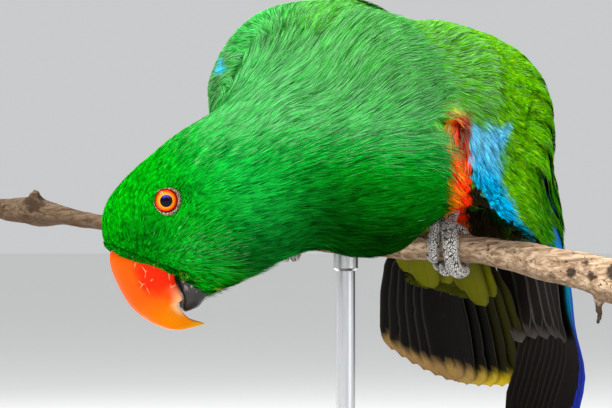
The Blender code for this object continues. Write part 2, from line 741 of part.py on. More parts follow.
def make_lids(side):
    """The lids as a shell round the eyeball, before their opening is cut."""
    radius = EYE_RADIUS + SEAM_GAP + LID_THICKNESS
    return ball(eye_centre(side), [radius] * 3, frame_along(eye_gaze(side), HEAD_UP), 9, 14, "lids")


def make_head():
    """The head with lids round its eye sockets, nostrils, and a flat face for the bill."""
    head = flesh("head", (-150, -50, -40), (-60, 25, 65), 4.3, [shifted(NECK_CUT, -1.0)])
    base_point = head_point(BILL_BASE, 0.0)
    base_normal = unit(HEAD_FORWARD) + BILL_BASE_SLOPE * unit(HEAD_UP)
    keep_side(head, base_point, -base_normal)
    axes = frame_along(HEAD_LEFT, HEAD_UP)
    combine(head, [make_lids(1.0), make_lids(-1.0)])
    holes = []
    for side in (1.0, -1.0):
        eye = eye_centre(side)
        gaze = eye_gaze(side)
        holes.append(ball(eye, [EYE_RADIUS + SEAM_GAP] * 3, axes, 9, 12, "socket"))
        holes.append(tube([eye, eye + gaze * 6.0, eye + gaze * 12.0], [LID_OPENING] * 3, 14,
                          "opening", side_hint=HEAD_UP))
        holes.append(ball(head_point(BILL_BASE + 0.4, 6.0, side * 5.0), [1.1, 1.1, 2.4],
                          frame_along(HEAD_FORWARD, HEAD_LEFT), 6, 8, "nostril"))
    combine(head, holes, "DIFFERENCE")
    head.data.shade_smooth()
    return head


def make_eye(side, name):
    return ball(eye_centre(side), [EYE_RADIUS] * 3, frame_along(eye_gaze(side), HEAD_UP), 9, 12, name)


# Bill, as outlines in the middle plane of the head: (forward, up)
CULMEN = ((24.0, 8.6), (30.5, 5.8), (37.0, -0.6), (42.0, -7.9), (44.4, -17.5), (43.4, -26.0), (38.1, -34.8))
TOMIUM = ((24.0, -15.0), (26.5, -16.2), (31.6, -21.2), (34.3, -20.6), (36.9, -24.6), (38.1, -28.7),
          (37.9, -34.0))
BILL_HALF_WIDTH = (9.8, 9.8, 8.9, 7.4, 5.8, 3.8, 0.8)
LOWER_RIDGE = ((24.0, -33.0), (27.6, -32.0), (33.1, -29.9), (36.3, -25.9))
LOWER_EDGE = ((24.0, -16.2), (27.0, -18.0), (31.4, -22.2), (35.6, -24.2))
LOWER_HALF_WIDTH = (7.6, 7.2, 6.0, 3.2)


def bill_loft(name, top_line, low_line, half_widths, arch, rows):
    """Rounded sections between a ridge and an edge, from the base to the tip."""
    steps = np.linspace(0.0, 1.0, rows)
    ridge = through([(a, b, 0.0) for a, b in top_line], steps)
    edge = through([(a, b, 0.0) for a, b in low_line], steps)
    halves = through([(w, 0.0, 0.0) for w in half_widths], steps)[:, 0]
    section = [(0.0, 0.0), (0.45, 0.10), (0.80, 0.34), (1.0, 0.66), (0.92, 0.95), (0.5, 1.0),
               (0.0, 0.93), (-0.5, 1.0), (-0.92, 0.95), (-1.0, 0.66), (-0.80, 0.34), (-0.45, 0.10)]
    points = []
    for i in range(rows):
        for wide, down in section:
            forward, up = (ridge[i] + (edge[i] - ridge[i]) * down ** arch)[:2]
            points.append(head_point(forward, up, halves[i] * wide))
    sides = len(section)
    faces = [tuple(range(sides))[::-1], tuple((rows - 1) * sides + k for k in range(sides))]
    for i in range(rows - 1):
        for k in range(sides):
            n = (k + 1) % sides
            faces.append((sides * i + k, sides * i + n, sides * i + sides + n, sides * i + sides + k))
    thing = new_object(name, points, faces)
    face_out(thing)
    base_normal = unit(HEAD_FORWARD) + BILL_BASE_SLOPE * unit(HEAD_UP)
    keep_side(thing, head_point(BILL_BASE, 0.0) + unit(base_normal) * SEAM_GAP, base_normal)
    thing.data.shade_smooth()
    return thing


# Legs

FEET = {
    "left": {"x": -1.5, "hand": 1.0, "knee": (4.0, 8.0, 33.0), "ankle": (1.5, 3.0, 15.0),
             "toe": 3.3},
    "right": {"x": -66.0, "hand": -1.0, "knee": (-48.0, 24.0, 33.0), "ankle": (-62.0, 29.5, 16.5),
              "toe": 2.9},
}
# Toes: step along the branch, angle from the top toward the front where the toe starts and ends,
# and the angle that the claw adds
TOES = {
    "inner_front": (-7.2, 10.0, 150.0, 42.0),
    "outer_front": (-0.8, 10.0, 165.0, 40.0),
    "outer_hind": (6.2, -10.0, -205.0, -50.0),
    "inner_hind": (-3.6, -15.0, -115.0, -40.0),
}
THIGH_TOP = 14.5
THIGH_LOW = 6.6
SHANK = 3.6


def branch_frame(x):
    """Centre of the branch, its own way, up and front at a place along it."""
    axis = unit(branch_centre(x + 5.0) - branch_centre(x - 5.0))
    up = unit(np.array([0.0, 0.0, 1.0]) - axis * axis[2])
    return branch_centre(x), axis, up, np.cross(up, axis)


def shank_line(side):
    """Top of the toes, the ankle, and the way from one to the other."""
    leg = FEET[side]
    centre, _, up, _ = branch_frame(leg["x"])
    top = centre + up * (branch_radius(leg["x"]) + SEAM_GAP + leg["toe"])
    ankle = np.array(leg["ankle"])
    return top, ankle, unit(ankle - top)


def make_foot(side, grow=0.0):
    """Two toes over the front of the branch and two behind it, on a short shank; grown, it is a cutter."""
    leg = FEET[side]
    toe = leg["toe"]
    centre, axis, up, front = branch_frame(leg["x"])
    top, ankle, way = shank_line(side)
    shank = tube([top - up * 0.8, top * 0.5 + ankle * 0.5, ankle, ankle + (ankle - top) * 0.5],
                 [toe * 1.1 + grow] + [SHANK + grow] * 3, 9, "foot_" + side)
    pieces = []
    for step, start, end, claw in TOES.values():
        step = step * leg["hand"]
        reach = np.linspace(0.0, 1.0, 7)
        centres = []
        radii = []
        for s in reach:
            angle = math.radians(start + (end - start) * s)
            here = centre + axis * step * min(1.0, 0.25 + 2.2 * s)
            radius = branch_radius(here[0])
            thick = toe * (1.05 - 0.22 * s) * (1.0 + 0.05 * math.cos(s * 6 * math.pi))
            away = radius + SEAM_GAP + 0.25 + thick
            centres.append(here + away * (math.cos(angle) * up + math.sin(angle) * front))
            radii.append(thick + grow)
        pieces.append(tube(centres, radii, 7, "toe", side_hint=axis))
        claw_centres = []
        claw_radii = []
        for s in np.linspace(0.0, 1.0, 4):
            angle = math.radians(end + claw * s - math.copysign(6.0, claw))
            here = centre + axis * step
            thick = 1.75 * (1 - s) ** 0.7 + 0.25
            away = branch_radius(here[0]) + SEAM_GAP + 0.3 + max(thick, 2.2 * (1 - s) + 0.5)
            claw_centres.append(here + away * (math.cos(angle) * up + math.sin(angle) * front))
            claw_radii.append(thick + grow)
        pieces.append(tube(claw_centres, claw_radii, 6, "claw", side_hint=axis))
    combine(shank, pieces)
    if not grow:
        keep_side(shank, ankle - way * SEAM_GAP / 2, -way)
    shank.data.shade_smooth()
    return shank


def make_thigh(side, torso):
    """The feathered upper leg, from the flank to the shank."""
    knee = np.array(FEET[side]["knee"])
    _, ankle, way = shank_line(side)
    steps = np.linspace(0.0, 1.0, 7)
    centres = [knee + (ankle - way * 2.0 - knee) * s for s in steps]
    radii = [THIGH_TOP + (THIGH_LOW - THIGH_TOP) * s ** 0.9 for s in steps]
    centres = [knee * 2 - centres[1]] + centres
    radii = [8.0] + radii
    thigh = tube(centres, radii, 14, "thigh_" + side)
    keep_side(thigh, ankle + way * SEAM_GAP / 2, way)
    combine(thigh, [inflated(torso, SEAM_GAP), make_branch(SEAM_GAP)], "DIFFERENCE")
    thigh.data.shade_smooth()
    return thigh


def make_torso():
    torso = flesh("torso", (-110, -75, -15), (50, 95, 100), 7.0,
                  [shifted(SHOULDER_CUT, 1.0), shifted(TAIL_CUT, -1.0)])
    combine(torso, [make_branch(SEAM_GAP), make_foot("left", SEAM_GAP), make_foot("right", SEAM_GAP)],
            "DIFFERENCE")
    torso.data.shade_smooth()
    return torso


def paint():
    green = material("green_feathers", (0.01, 0.35, 0.02), 0.6)
    tail = material("tail_feathers", (0.02, 0.09, 0.04), 0.6)
    horn = material("bill_horn", (0.9, 0.22, 0.01), 0.3)
    dark_horn = material("dark_horn", (0.03, 0.03, 0.035), 0.35)
    eye = material("eye", (0.8, 0.15, 0.01), 0.1)
    skin = material("scaly_skin", (0.2, 0.2, 0.21), 0.6)
    bark = material("branch_bark", (0.5, 0.33, 0.2), 0.85)
    board = material("stand_board", (0.05, 0.045, 0.04), 0.5)
    steel = material("stand_metal", (0.5, 0.5, 0.5), 0.35, 1.0)
    finishes = {
        "head": green, "neck": green, "torso": green, "thigh_left": green, "thigh_right": green,
        "wing_left": green, "wing_right": green, "tail": tail, "bill_upper": horn,
        "bill_lower": dark_horn, "eye_left": eye, "eye_right": eye, "foot_left": skin,
        "foot_right": skin, "perch": bark, "stand_base": board, "stand_rod": steel}
    for name, finish in finishes.items():
        thing = bpy.data.objects[name]
        thing.data.materials.clear()
        thing.data.materials.append(finish)


def main():
    start_clean()
    torso = make_torso()
    neck = flesh("neck", (-125, -65, -30), (-20, 35, 75), 5.6,
                 [shifted(NECK_CUT, 1.0), shifted(SHOULDER_CUT, -1.0)])
    make_head()
    make_eye(1.0, "eye_left")
    make_eye(-1.0, "eye_right")
    bill_loft("bill_upper", CULMEN, TOMIUM, BILL_HALF_WIDTH, 1.0, 12)
    bill_loft("bill_lower", LOWER_RIDGE, LOWER_EDGE, LOWER_HALF_WIDTH, 1.0, 7)
    make_tail()
    for side in ("left", "right"):
        thigh = make_thigh(side, torso)
        make_wing(side, [torso, neck, thigh])
        make_foot(side)
    make_branch()
    make_stand()
    paint()


main()
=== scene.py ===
import itertools
import math

import bpy
import numpy as np
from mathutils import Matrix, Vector
from mathutils.bvhtree import BVHTree
from mathutils.kdtree import KDTree


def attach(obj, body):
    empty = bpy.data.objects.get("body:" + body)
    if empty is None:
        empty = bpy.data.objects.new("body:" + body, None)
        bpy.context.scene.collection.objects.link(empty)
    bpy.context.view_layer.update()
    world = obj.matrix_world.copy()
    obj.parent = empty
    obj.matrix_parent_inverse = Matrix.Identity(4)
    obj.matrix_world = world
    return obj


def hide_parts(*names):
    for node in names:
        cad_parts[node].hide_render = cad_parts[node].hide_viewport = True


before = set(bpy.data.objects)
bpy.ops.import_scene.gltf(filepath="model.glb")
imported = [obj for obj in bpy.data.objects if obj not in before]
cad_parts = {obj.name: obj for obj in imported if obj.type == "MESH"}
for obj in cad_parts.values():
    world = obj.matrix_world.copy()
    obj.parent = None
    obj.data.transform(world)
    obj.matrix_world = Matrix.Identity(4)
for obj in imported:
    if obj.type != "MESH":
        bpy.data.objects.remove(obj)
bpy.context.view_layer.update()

# Points are millimetres from the grip, where the left foot holds the branch, until place() moves them.
# +X is to the bird's left, -Y is in front of its breast and +Z is up.

gripOnStand = np.array([28.0, -20.0, 134.0])


def place(points):
    return (np.asarray(points, float) + gripOnStand) * 0.001


def unit(vectors):
    vectors = np.asarray(vectors, float)
    return vectors / np.maximum(np.linalg.norm(vectors, axis=-1, keepdims=True), 1e-12)


def flatten(vectors, normals):  # the part of each vector that lies in the surface
    return unit(vectors - normals * np.sum(vectors * normals, axis=-1, keepdims=True))


def ease(values, low, high):  # 0 below low, 1 above high, smooth between
    share = np.clip((np.asarray(values, float) - low) / (high - low), 0.0, 1.0)
    return share * share * (3 - 2 * share)


def ramp(values, knots):  # read from (position, value) pairs with smooth steps between
    xs, ys = np.array(knots, float).T
    values = np.clip(values, xs[0], xs[-1])
    index = np.clip(np.searchsorted(xs, values, side="right") - 1, 0, len(xs) - 2)
    share = (values - xs[index]) / (xs[index + 1] - xs[index])
    share = share * share * (3 - 2 * share)
    return ys[index] + (ys[index + 1] - ys[index]) * share


def through(points, samples):  # a smooth curve through the points
    points = np.asarray(points, float)
    last = len(points) - 1
    padded = np.vstack([2 * points[0] - points[1], points, 2 * points[-1] - points[-2]])
    position = np.clip(np.atleast_1d(samples), 0.0, 1.0) * last
    index = np.minimum(position.astype(int), last - 1)
    t = (position - index)[:, None]
    a, b, c, d = (padded[index + k] for k in range(4))
    return 0.5 * (2 * b + (c - a) * t + (2 * a - 5 * b + 4 * c - d) * t ** 2
                  + (3 * b - a - 3 * c + d) * t ** 3)


def ripple(points, size, seed=0, waves=7):  # soft uneven values from -1 to 1, about size across
    dice = np.random.default_rng(seed)
    total = np.zeros(len(points))
    for _ in range(waves):
        way = unit(dice.normal(size=points.shape[1])) * (2 * math.pi / (size * dice.uniform(0.8, 1.9)))
        total += np.sin(points @ way + dice.uniform(0, 2 * math.pi))
    return total / math.sqrt(waves) / 1.4


def paint(red, green, blue):  # a screen colour as the light values that shaders use
    return np.array([(c / 255.0 / 12.92) if c < 10.3 else ((c / 255.0 + 0.055) / 1.055) ** 2.4
                     for c in (red, green, blue)])


def rgba(red, green, blue):
    return (*paint(red, green, blue), 1.0)


def toward(base, tint, share):
    return base + (np.asarray(tint) - base) * np.asarray(share)[..., None]


# Meshes

def setTints(mesh, tints):
    colours = np.ones((len(mesh.vertices), 4), np.float32)
    colours[:, :3] = tints
    mesh.attributes.new("tint", "FLOAT_COLOR", "POINT").data.foreach_set("color", colours.ravel())


def setFacts(mesh, facts):  # three numbers on each point, for the materials
    facts = np.asarray(facts, np.float32).ravel()
    mesh.attributes.new("facts", "FLOAT_VECTOR", "POINT").data.foreach_set("vector", facts)


def buildMesh(name, points, quads=(), triangles=(), tints=None, spots=None, facts=None):
    # points in mm; tints are colours and spots are places on the bake map
    quads = np.asarray(quads, np.int32).reshape(-1, 4)
    triangles = np.asarray(triangles, np.int32).reshape(-1, 3)
    corners = np.concatenate([quads.ravel(), triangles.ravel()])
    starts = np.concatenate([np.arange(len(quads)) * 4, len(quads) * 4 + np.arange(len(triangles)) * 3])
    mesh = bpy.data.meshes.new(name)
    mesh.vertices.add(len(points))
    mesh.vertices.foreach_set("co", place(points).astype(np.float32).ravel())
    mesh.loops.add(len(corners))
    mesh.loops.foreach_set("vertex_index", corners)
    mesh.polygons.add(len(starts))
    mesh.polygons.foreach_set("loop_start", starts.astype(np.int32))
    mesh.update(calc_edges=True)
    mesh.shade_smooth()
    if tints is not None:
        setTints(mesh, tints)
    if facts is not None:
        setFacts(mesh, facts)
    if spots is not None:
        mesh.uv_layers.new(name="OFBake").data.foreach_set(
            "uv", np.asarray(spots, np.float32)[corners].ravel())
    return mesh


def showPiece(name, mesh, look, replaced=()):
    piece = bpy.data.objects.new(name, mesh)
    bpy.context.scene.collection.objects.link(piece)
    mesh.materials.clear()
    mesh.materials.append(look.material)
    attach(piece, "root")
    if replaced:
        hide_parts(*replaced)


def gridFaces(rows, columns, closed=False, flip=False):  # quads over rows of points
    i, k = np.meshgrid(np.arange(rows - 1), np.arange(columns if closed else columns - 1), indexing="ij")
    n = (k + 1) % columns
    quads = np.stack([i * columns + k, i * columns + n, (i + 1) * columns + n, (i + 1) * columns + k], -1)
    quads = quads.reshape(-1, 4)
    return quads[:, ::-1] if flip else quads


def gridRim(rows, columns):  # the points round a grid, and the one after each
    rim = np.concatenate([np.arange(columns), np.arange(1, rows) * columns + columns - 1,
                          (rows - 1) * columns + np.arange(columns - 2, -1, -1),
                          np.arange(rows - 2, 0, -1) * columns])
    return rim, np.roll(rim, -1)


def joinParts(parts):  # parts are dictionaries of the things that buildMesh takes
    whole = {}
    offset = 0
    for part in parts:
        for key, values in part.items():
            values = np.asarray(values)
            whole.setdefault(key, []).append(values + offset if key in ("quads", "triangles") else values)
        offset += len(part["points"])
    return {key: np.concatenate(values) for key, values in whole.items()}


def meltedCopy(name, nodes, voxel, smoothing, extras=(), closing=0.0):
    # copies of the CAD nodes and other closed forms, run together into one smooth surface
    points = []
    faces = []
    for node in nodes:
        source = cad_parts[node].data
        faces += [[len(points) + k for k in p.vertices] for p in source.polygons]
        points += [v.co.copy() for v in source.vertices]
    for part in extras:
        faces += [[len(points) + int(k) for k in f] for f in part["quads"]]
        points += [Vector(p) for p in place(part["points"])]
    mesh = bpy.data.meshes.new(name)
    mesh.from_pydata(points, [], faces)
    thing = bpy.data.objects.new(name, mesh)
    bpy.context.scene.collection.objects.link(thing)
    thing.modifiers.new("weld", "WELD").merge_threshold = 1e-6
    for strength in (0.0, closing, -closing) if closing else (0.0,):  # out and in again fills creases
        if strength:
            shift = thing.modifiers.new("shift", "DISPLACE")
            shift.mid_level = 0.0
            shift.strength = strength * 0.001
        if strength >= 0:
            melt = thing.modifiers.new("melt", "REMESH")
            melt.mode = "VOXEL"
            melt.voxel_size = voxel * 0.001
    thing.modifiers.new("smooth", "SMOOTH").iterations = smoothing
    graph = bpy.context.evaluated_depsgraph_get()
    graph.update()
    done = bpy.data.meshes.new_from_object(thing.evaluated_get(graph))
    bpy.data.objects.remove(thing)
    done.shade_smooth()
    return done


def readMesh(mesh):  # points in mm, normals and triangles of a mesh
    points = np.empty(len(mesh.vertices) * 3, np.float32)
    normals = np.empty_like(points)
    mesh.vertices.foreach_get("co", points)
    mesh.vertex_normals.foreach_get("vector", normals)
    mesh.calc_loop_triangles()
    triangles = np.empty(len(mesh.loop_triangles) * 3, np.int32)
    mesh.loop_triangles.foreach_get("vertices", triangles)
    points = points.reshape(-1, 3).astype(float) * 1000.0 - gripOnStand
    return points, normals.reshape(-1, 3).astype(float), triangles.reshape(-1, 3)


def movePoints(mesh, points):
    mesh.vertices.foreach_set("co", place(points).astype(np.float32).ravel())
    mesh.update()


def surfaceTree(points, triangles):
    return BVHTree.FromPolygons([Vector(p) for p in points], triangles.tolist())


def ball(rings, sides, near, far):  # polar angle and turn over a ball, and the unit points there
    a, b = np.meshgrid(np.linspace(near, far, rings), np.linspace(0, 2 * math.pi, sides, endpoint=False),
                       indexing="ij")
    return a, b, np.stack([np.sin(a) * np.cos(b), np.sin(a) * np.sin(b), np.cos(a)], -1)


def ovalLump(centre, radii, axes=np.eye(3), rings=10, sides=16):
    local = ball(rings, sides, 0.02, math.pi - 0.02)[2].reshape(-1, 3)
    return {"points": local * radii @ np.asarray(axes) + centre, "quads": gridFaces(rings, sides, True)}


def closedTube(rings, flip=False):  # rings of points, drawn together at both ends
    sides = len(rings[0])
    points = np.concatenate([[rings[0].mean(0)] * sides, *rings, [rings[-1].mean(0)] * sides])
    return {"points": points, "quads": gridFaces(len(rings) + 2, sides, True, flip=flip)}


def frameAlong(along, left):  # rows left, up and along
    along = unit(along)
    left = unit(np.asarray(left, float) - along * np.dot(along, left))
    return np.array([left, np.cross(along, left), along])


# Materials

class Wire:  # a socket of a material that can be used in sums
    def __init__(self, look, socket):
        self.look = look
        self.socket = socket

    def __add__(self, other):
        return self.look.sum("ADD", self, other)

    def __radd__(self, other):
        return self.look.sum("ADD", other, self)

    def __sub__(self, other):
        return self.look.sum("SUBTRACT", self, other)

    def __rsub__(self, other):
        return self.look.sum("SUBTRACT", other, self)

    def __mul__(self, other):
        return self.look.sum("MULTIPLY", self, other)

    def __rmul__(self, other):
        return self.look.sum("MULTIPLY", other, self)


class Look:  # one material, with its nodes made by node()
    def __init__(self, name, constants):
        self.material = bpy.data.materials.new(name)
        self.material.use_nodes = True
        self.tree = self.material.node_tree
        self.shader = self.tree.nodes["Principled BSDF"]
        for socket, value in constants.items():
            self.shader.inputs[socket].default_value = value

    def node(self, kind, settings=None, inputs=None, output=0):
        node = self.tree.nodes.new(kind)
        for name, value in (settings or {}).items():
            if name == "stops":
                stops = node.color_ramp.elements
                stops[0].position, stops[0].color = value[0]
                stops[-1].position, stops[-1].color = value[-1]
                for position, colour in value[1:-1]:
                    stops.new(position).color = colour
            else:
                setattr(node, name, value)
        for name, value in (inputs or {}).items():
            if isinstance(value, Wire):
                self.tree.links.new(value.socket, node.inputs[name])
            else:
                node.inputs[name].default_value = value
        return Wire(self, node.outputs[output])

    def sum(self, operation, first, second):
        return self.node("ShaderNodeMath", {"operation": operation}, {0: first, 1: second})

    def curve(self, operation, value):
        return self.node("ShaderNodeMath", {"operation": operation}, {0: value})

    def step(self, value, low, high):
        return self.node("ShaderNodeMapRange", {"interpolation_type": "SMOOTHSTEP"},
                         {"Value": value, "From Min": low, "From Max": high})

    def mix(self, share, first, second, blend="MIX"):
        return self.node("ShaderNodeMix", {"data_type": "RGBA", "blend_type": blend},
                         {0: share, 6: first, 7: second}, 2)

    def tint(self):
        return self.node("ShaderNodeAttribute", {"attribute_name": "tint"})

    def fact(self, index):  # one of the three numbers kept on each point
        whole = self.node("ShaderNodeAttribute", {"attribute_name": "facts"}, output=1)
        return self.node("ShaderNodeSeparateXYZ", None, {0: whole}, index)

    def spot(self, stretch=(1.0, 1.0, 1.0), turn=(0.0, 0.0, 0.0)):  # place on the object
        where = self.node("ShaderNodeTexCoord", output=3)
        return self.node("ShaderNodeMapping", None, {"Vector": where, "Scale": stretch, "Rotation": turn})

    def noise(self, size, detail=3.0, where=None, distortion=0.0):  # size in mm
        return self.node("ShaderNodeTexNoise", None,
                         {"Vector": where or self.spot(), "Scale": 1000.0 / size, "Detail": detail,
                          "Distortion": distortion})

    def cells(self, size, where=None):  # distance to the edges of a net of cells, size in mm
        return self.node("ShaderNodeTexVoronoi", {"feature": "DISTANCE_TO_EDGE"},
                         {"Vector": where or self.spot(), "Scale": 1000.0 / size})

    def bump(self, height, depth, strength=1.0):  # depth in mm
        return self.node("ShaderNodeBump", None,
                         {"Height": height, "Distance": depth * 0.001, "Strength": strength})

    def finish(self, links):
        for socket, wire in links.items():
            self.tree.links.new(wire.socket, self.shader.inputs[socket])
        return self


# Camera, floor and light

studio = {
    "cameraAt": (-54.8, -1250.0, 15.8), "lens": 200.0, "sensor": 36.0, "aim": (-20.0, 0.0, 20.0),
    "lights": {  # place, size in metres and power
        "key": ((-520.0, -420.0, 820.0), 0.40, 15.0),
        "top": ((60.0, 260.0, 900.0), 0.8, 10.0),
        "side": ((800.0, -500.0, 250.0), 0.9, 2.6),
        "rim": ((-760.0, 700.0, 420.0), 0.5, 9.0),
    },
    "sky": (0.84, 0.85, 0.86, 1.0), "skyStrength": 0.70,
    "floorHalf": 9.0, "floorTones": ((244, 244, 243), (236, 236, 235)), "floorMottle": 900.0,
}


def setUpStudio():
    lens = bpy.data.cameras.new("camera")
    lens.lens = studio["lens"]
    lens.sensor_width = studio["sensor"]
    camera = bpy.data.objects.new("camera", lens)
    bpy.context.scene.collection.objects.link(camera)
    camera.location = place(studio["cameraAt"])
    camera.rotation_euler = (math.radians(90.0), 0.0, 0.0)
    bpy.context.scene.camera = camera
    for name, (at, size, power) in studio["lights"].items():
        lamp = bpy.data.lights.new(name, "AREA")
        lamp.shape = "DISK"
        lamp.size = size
        lamp.energy = power
        thing = bpy.data.objects.new(name, lamp)
        bpy.context.scene.collection.objects.link(thing)
        thing.location = place(at)
        toAim = Vector(place(studio["aim"])) - thing.location
        thing.rotation_euler = toAim.to_track_quat("-Z", "Y").to_euler()
    world = bpy.data.worlds.new("studio")
    world.use_nodes = True
    sky = world.node_tree.nodes["Background"]
    sky.inputs["Color"].default_value = studio["sky"]
    sky.inputs["Strength"].default_value = studio["skyStrength"]
    bpy.context.scene.world = world
    bpy.context.scene.view_settings.view_transform = "Standard"
    half = studio["floorHalf"]
    ground = bpy.data.meshes.new("floor")
    ground.from_pydata([(-half, -half, 0), (half, -half, 0), (half, half, 0), (-half, half, 0)], [],
                       [(0, 1, 2, 3)])
    floor = bpy.data.objects.new("floor", ground)
    bpy.context.scene.collection.objects.link(floor)
    look = Look("paleFloor", {"Roughness": 0.8})
    first, second = (rgba(*tone) for tone in studio["floorTones"])
    look.finish({"Base Color": look.mix(look.noise(studio["floorMottle"]) * 0.3, first, second)})
    ground.materials.append(look.material)


setUpStudio()
print("studio ready")


# The head's own directions

headAt = np.array([-109.8, -13.8, 18.9])       # between the eyes
headForward = unit((-0.342, 0.0, -0.940))
headUp = unit((-0.894, -0.309, 0.325))
headLeft = unit((0.290, -0.951, -0.106))
billBase = 24.0


def headPoint(forward, up, left=0.0):
    return headAt + np.multiply.outer(forward, headForward) + np.multiply.outer(up, headUp) \
        + np.multiply.outer(left, headLeft)


def onHead(points):  # how far points lie forward and up from between the eyes
    away = np.asarray(points) - headAt
    return away @ headForward, away @ headUp


# The run of the body, from the bill to the tail, for the lie of the feathers and the bake map

bodyRun = ((-119, -14, -8), (-110, -15, 10), (-92, -16, 18), (-72, -17, 25), (-54, -18, 34), (-38, -10, 44),
           (-26, 8, 46), (-18, 28, 42), (-11, 48, 32), (-3, 66, 16), (8, 118, -30))
runSoftness = 11.0
runSteps = np.linspace(0.0, 1.0, 150)
runPoints = through(bodyRun, runSteps)
runWays = unit(np.gradient(runPoints, axis=0))


def alongBody(points, batch=20000):  # share of the way along, and the way of the body there
    shares = np.empty(len(points))
    ways = np.empty((len(points), 3))
    for first in range(0, len(points), batch):
        some = slice(first, first + batch)
        gaps = np.sum((points[some, None] - runPoints[None]) ** 2, axis=2)
        weights = np.exp(-(gaps - gaps.min(axis=1, keepdims=True)) / (2 * runSoftness ** 2))
        weights /= weights.sum(axis=1, keepdims=True)
        shares[some] = weights @ runSteps
        ways[some] = unit(weights @ runWays)
    return shares, ways


def bakeSpots(points):  # an unwrap of the body: along it, and round it
    shares, ways = alongBody(points)
    centres = np.stack([np.interp(shares, runSteps, runPoints[:, k]) for k in range(3)], 1)
    away = points - centres
    up = flatten(np.tile((0.0, 0.3, 1.0), (len(points), 1)), ways)
    side = np.cross(ways, up)
    turn = np.arctan2(np.sum(away * side, 1), np.sum(away * up, 1)) / (2 * math.pi) + 0.5
    return np.stack([0.02 + 0.96 * turn, 0.02 + 0.96 * shares], 1)


# Wings: a sheet from the leading edge, wrist to tip, to the back of the wing. Bulge, pad and thickness
# are pairs of the place along the wing and mm.

wings = {
    "left": {
        "hand": 1.0,
        "edge": ((3.0, -39.0, 47.0), (6.0, -28.0, 25.0), (15.0, -14.0, 11.5), (31.0, 5.0, 0.5),
                 (45.0, 30.0, -16.0), (51.5, 60.0, -38.5), (57.0, 90.0, -61.0), (49.0, 126.0, -95.0)),
        "back": ((-28.0, -22.0, 77.0), (-23.0, 0.0, 82.0), (-15.0, 20.0, 78.0), (-4.0, 42.0, 65.0),
                 (7.0, 60.0, 44.0), (19.0, 82.0, 12.0), (30.0, 106.0, -32.0), (23.0, 130.0, -80.0)),
        "bulge": ((0.0, 9.0), (0.14, 22.0), (0.36, 26.0), (0.5, 13.0), (0.7, 4.0), (1.0, 1.0)), "lean": 1.3,
        "pad": ((0.0, 0.5), (0.08, 0.5), (0.2, 2.2), (0.34, 5.0), (0.46, 3.8), (0.6, 1.4), (0.75, 0.0)),
    },
    "right": {
        "hand": -1.0,
        "edge": ((-86.0, 4.0, 58.0), (-88.0, 20.0, 42.0), (-83.0, 38.0, 31.0), (-69.0, 60.0, 24.0),
                 (-51.0, 84.0, 13.0), (-33.0, 108.0, -5.0), (-14.0, 134.0, -26.0), (5.0, 160.0, -49.0)),
        "back": ((-52.0, -16.0, 84.0), (-33.0, 4.0, 89.0), (-20.0, 23.0, 85.0), (-11.0, 45.0, 70.0),
                 (-6.0, 68.0, 50.0), (2.0, 94.0, 27.0), (9.0, 126.0, 0.0), (12.0, 158.0, -41.0)),
        "bulge": ((0.0, 14.0), (0.14, 21.5), (0.36, 20.0), (0.5, 15.0), (0.7, 8.0), (1.0, 1.0)), "lean": 0.6,
        "pad": ((0.0, 3.0), (0.08, 4.0), (0.2, 4.0), (0.34, 3.0), (0.46, 2.0), (0.6, 0.5), (0.75, 0.0)),
    },
}
wingThickness = ((0.0, 10.0), (0.3, 8.0), (0.5, 2.4), (0.7, 1.0), (1.0, 0.6))
coreReach = 0.46        # how far along a wing its closed form goes


def wingSheet(wing, u, v):  # u runs from wrist to tip, v from the leading edge to the back
    u = np.clip(np.asarray(u, float), 0.01, 0.99)
    v = np.asarray(v, float)

    def spot(a, b):
        edge = through(wing["edge"], a)
        back = through(wing["back"], a)
        ahead = through(wing["edge"], a + 0.01) - through(wing["edge"], a - 0.01)
        out = unit(np.cross(ahead, back - edge)) * wing["hand"]
        swell = ramp(a, wing["bulge"]) * np.sin(math.pi * np.clip(b, 0.0, 1.1) ** wing["lean"])
        return edge + (back - edge) * b[:, None] + out * swell[:, None]

    along = unit(spot(u + 0.01, v) - spot(u - 0.01, v))
    over = unit(spot(u, v + 0.01) - spot(u, v - 0.01))
    return spot(u, v), along, over, unit(np.cross(along, over)) * wing["hand"]


def wingLift(wing, u, v):  # how far the two faces stand off the sheet
    thick = ramp(u, wingThickness)
    rounding = np.sqrt(np.maximum(0.0, 1.0 - np.abs(2 * v - 1.0) ** 3.0))
    sunk = 7.0 * np.maximum(0.0, 1.0 - u / 0.09) ** 2
    sunk = sunk + 5.0 * np.maximum(0.0, (v - 0.84) / 0.16) ** 2 * np.maximum(0.0, 1.0 - u / 0.62)
    pad = ramp(u, wing["pad"]) * rounding * ease(v, 0.12, 0.55)    # the covering feathers
    return (0.15 + 0.35 * rounding) * thick - sunk + pad, (0.15 + 0.60 * rounding) * thick + sunk


def wingGrid(wing, rows, columns):
    u, v = np.meshgrid(np.linspace(0.0, coreReach, rows), np.linspace(0.0, 1.0, columns), indexing="ij")
    u, v = u.ravel(), v.ravel()
    return u, v, wingSheet(wing, u, v), wingLift(wing, u, v)


def wingCore(wing, rows=34, columns=24):  # the closed form of the wing without its feathers
    _, _, (point, _, _, normal), (above, below) = wingGrid(wing, rows, columns)
    flip = wing["hand"] < 0
    count = rows * columns
    rim, after = gridRim(rows, columns)
    wall = np.stack([rim, after, after + count, rim + count], 1)
    quads = np.concatenate([gridFaces(rows, columns, flip=not flip),
                            gridFaces(rows, columns, flip=flip) + count, wall if flip else wall[:, ::-1]])
    return {"points": np.concatenate([point + normal * above[:, None], point - normal * below[:, None]]),
            "quads": quads}


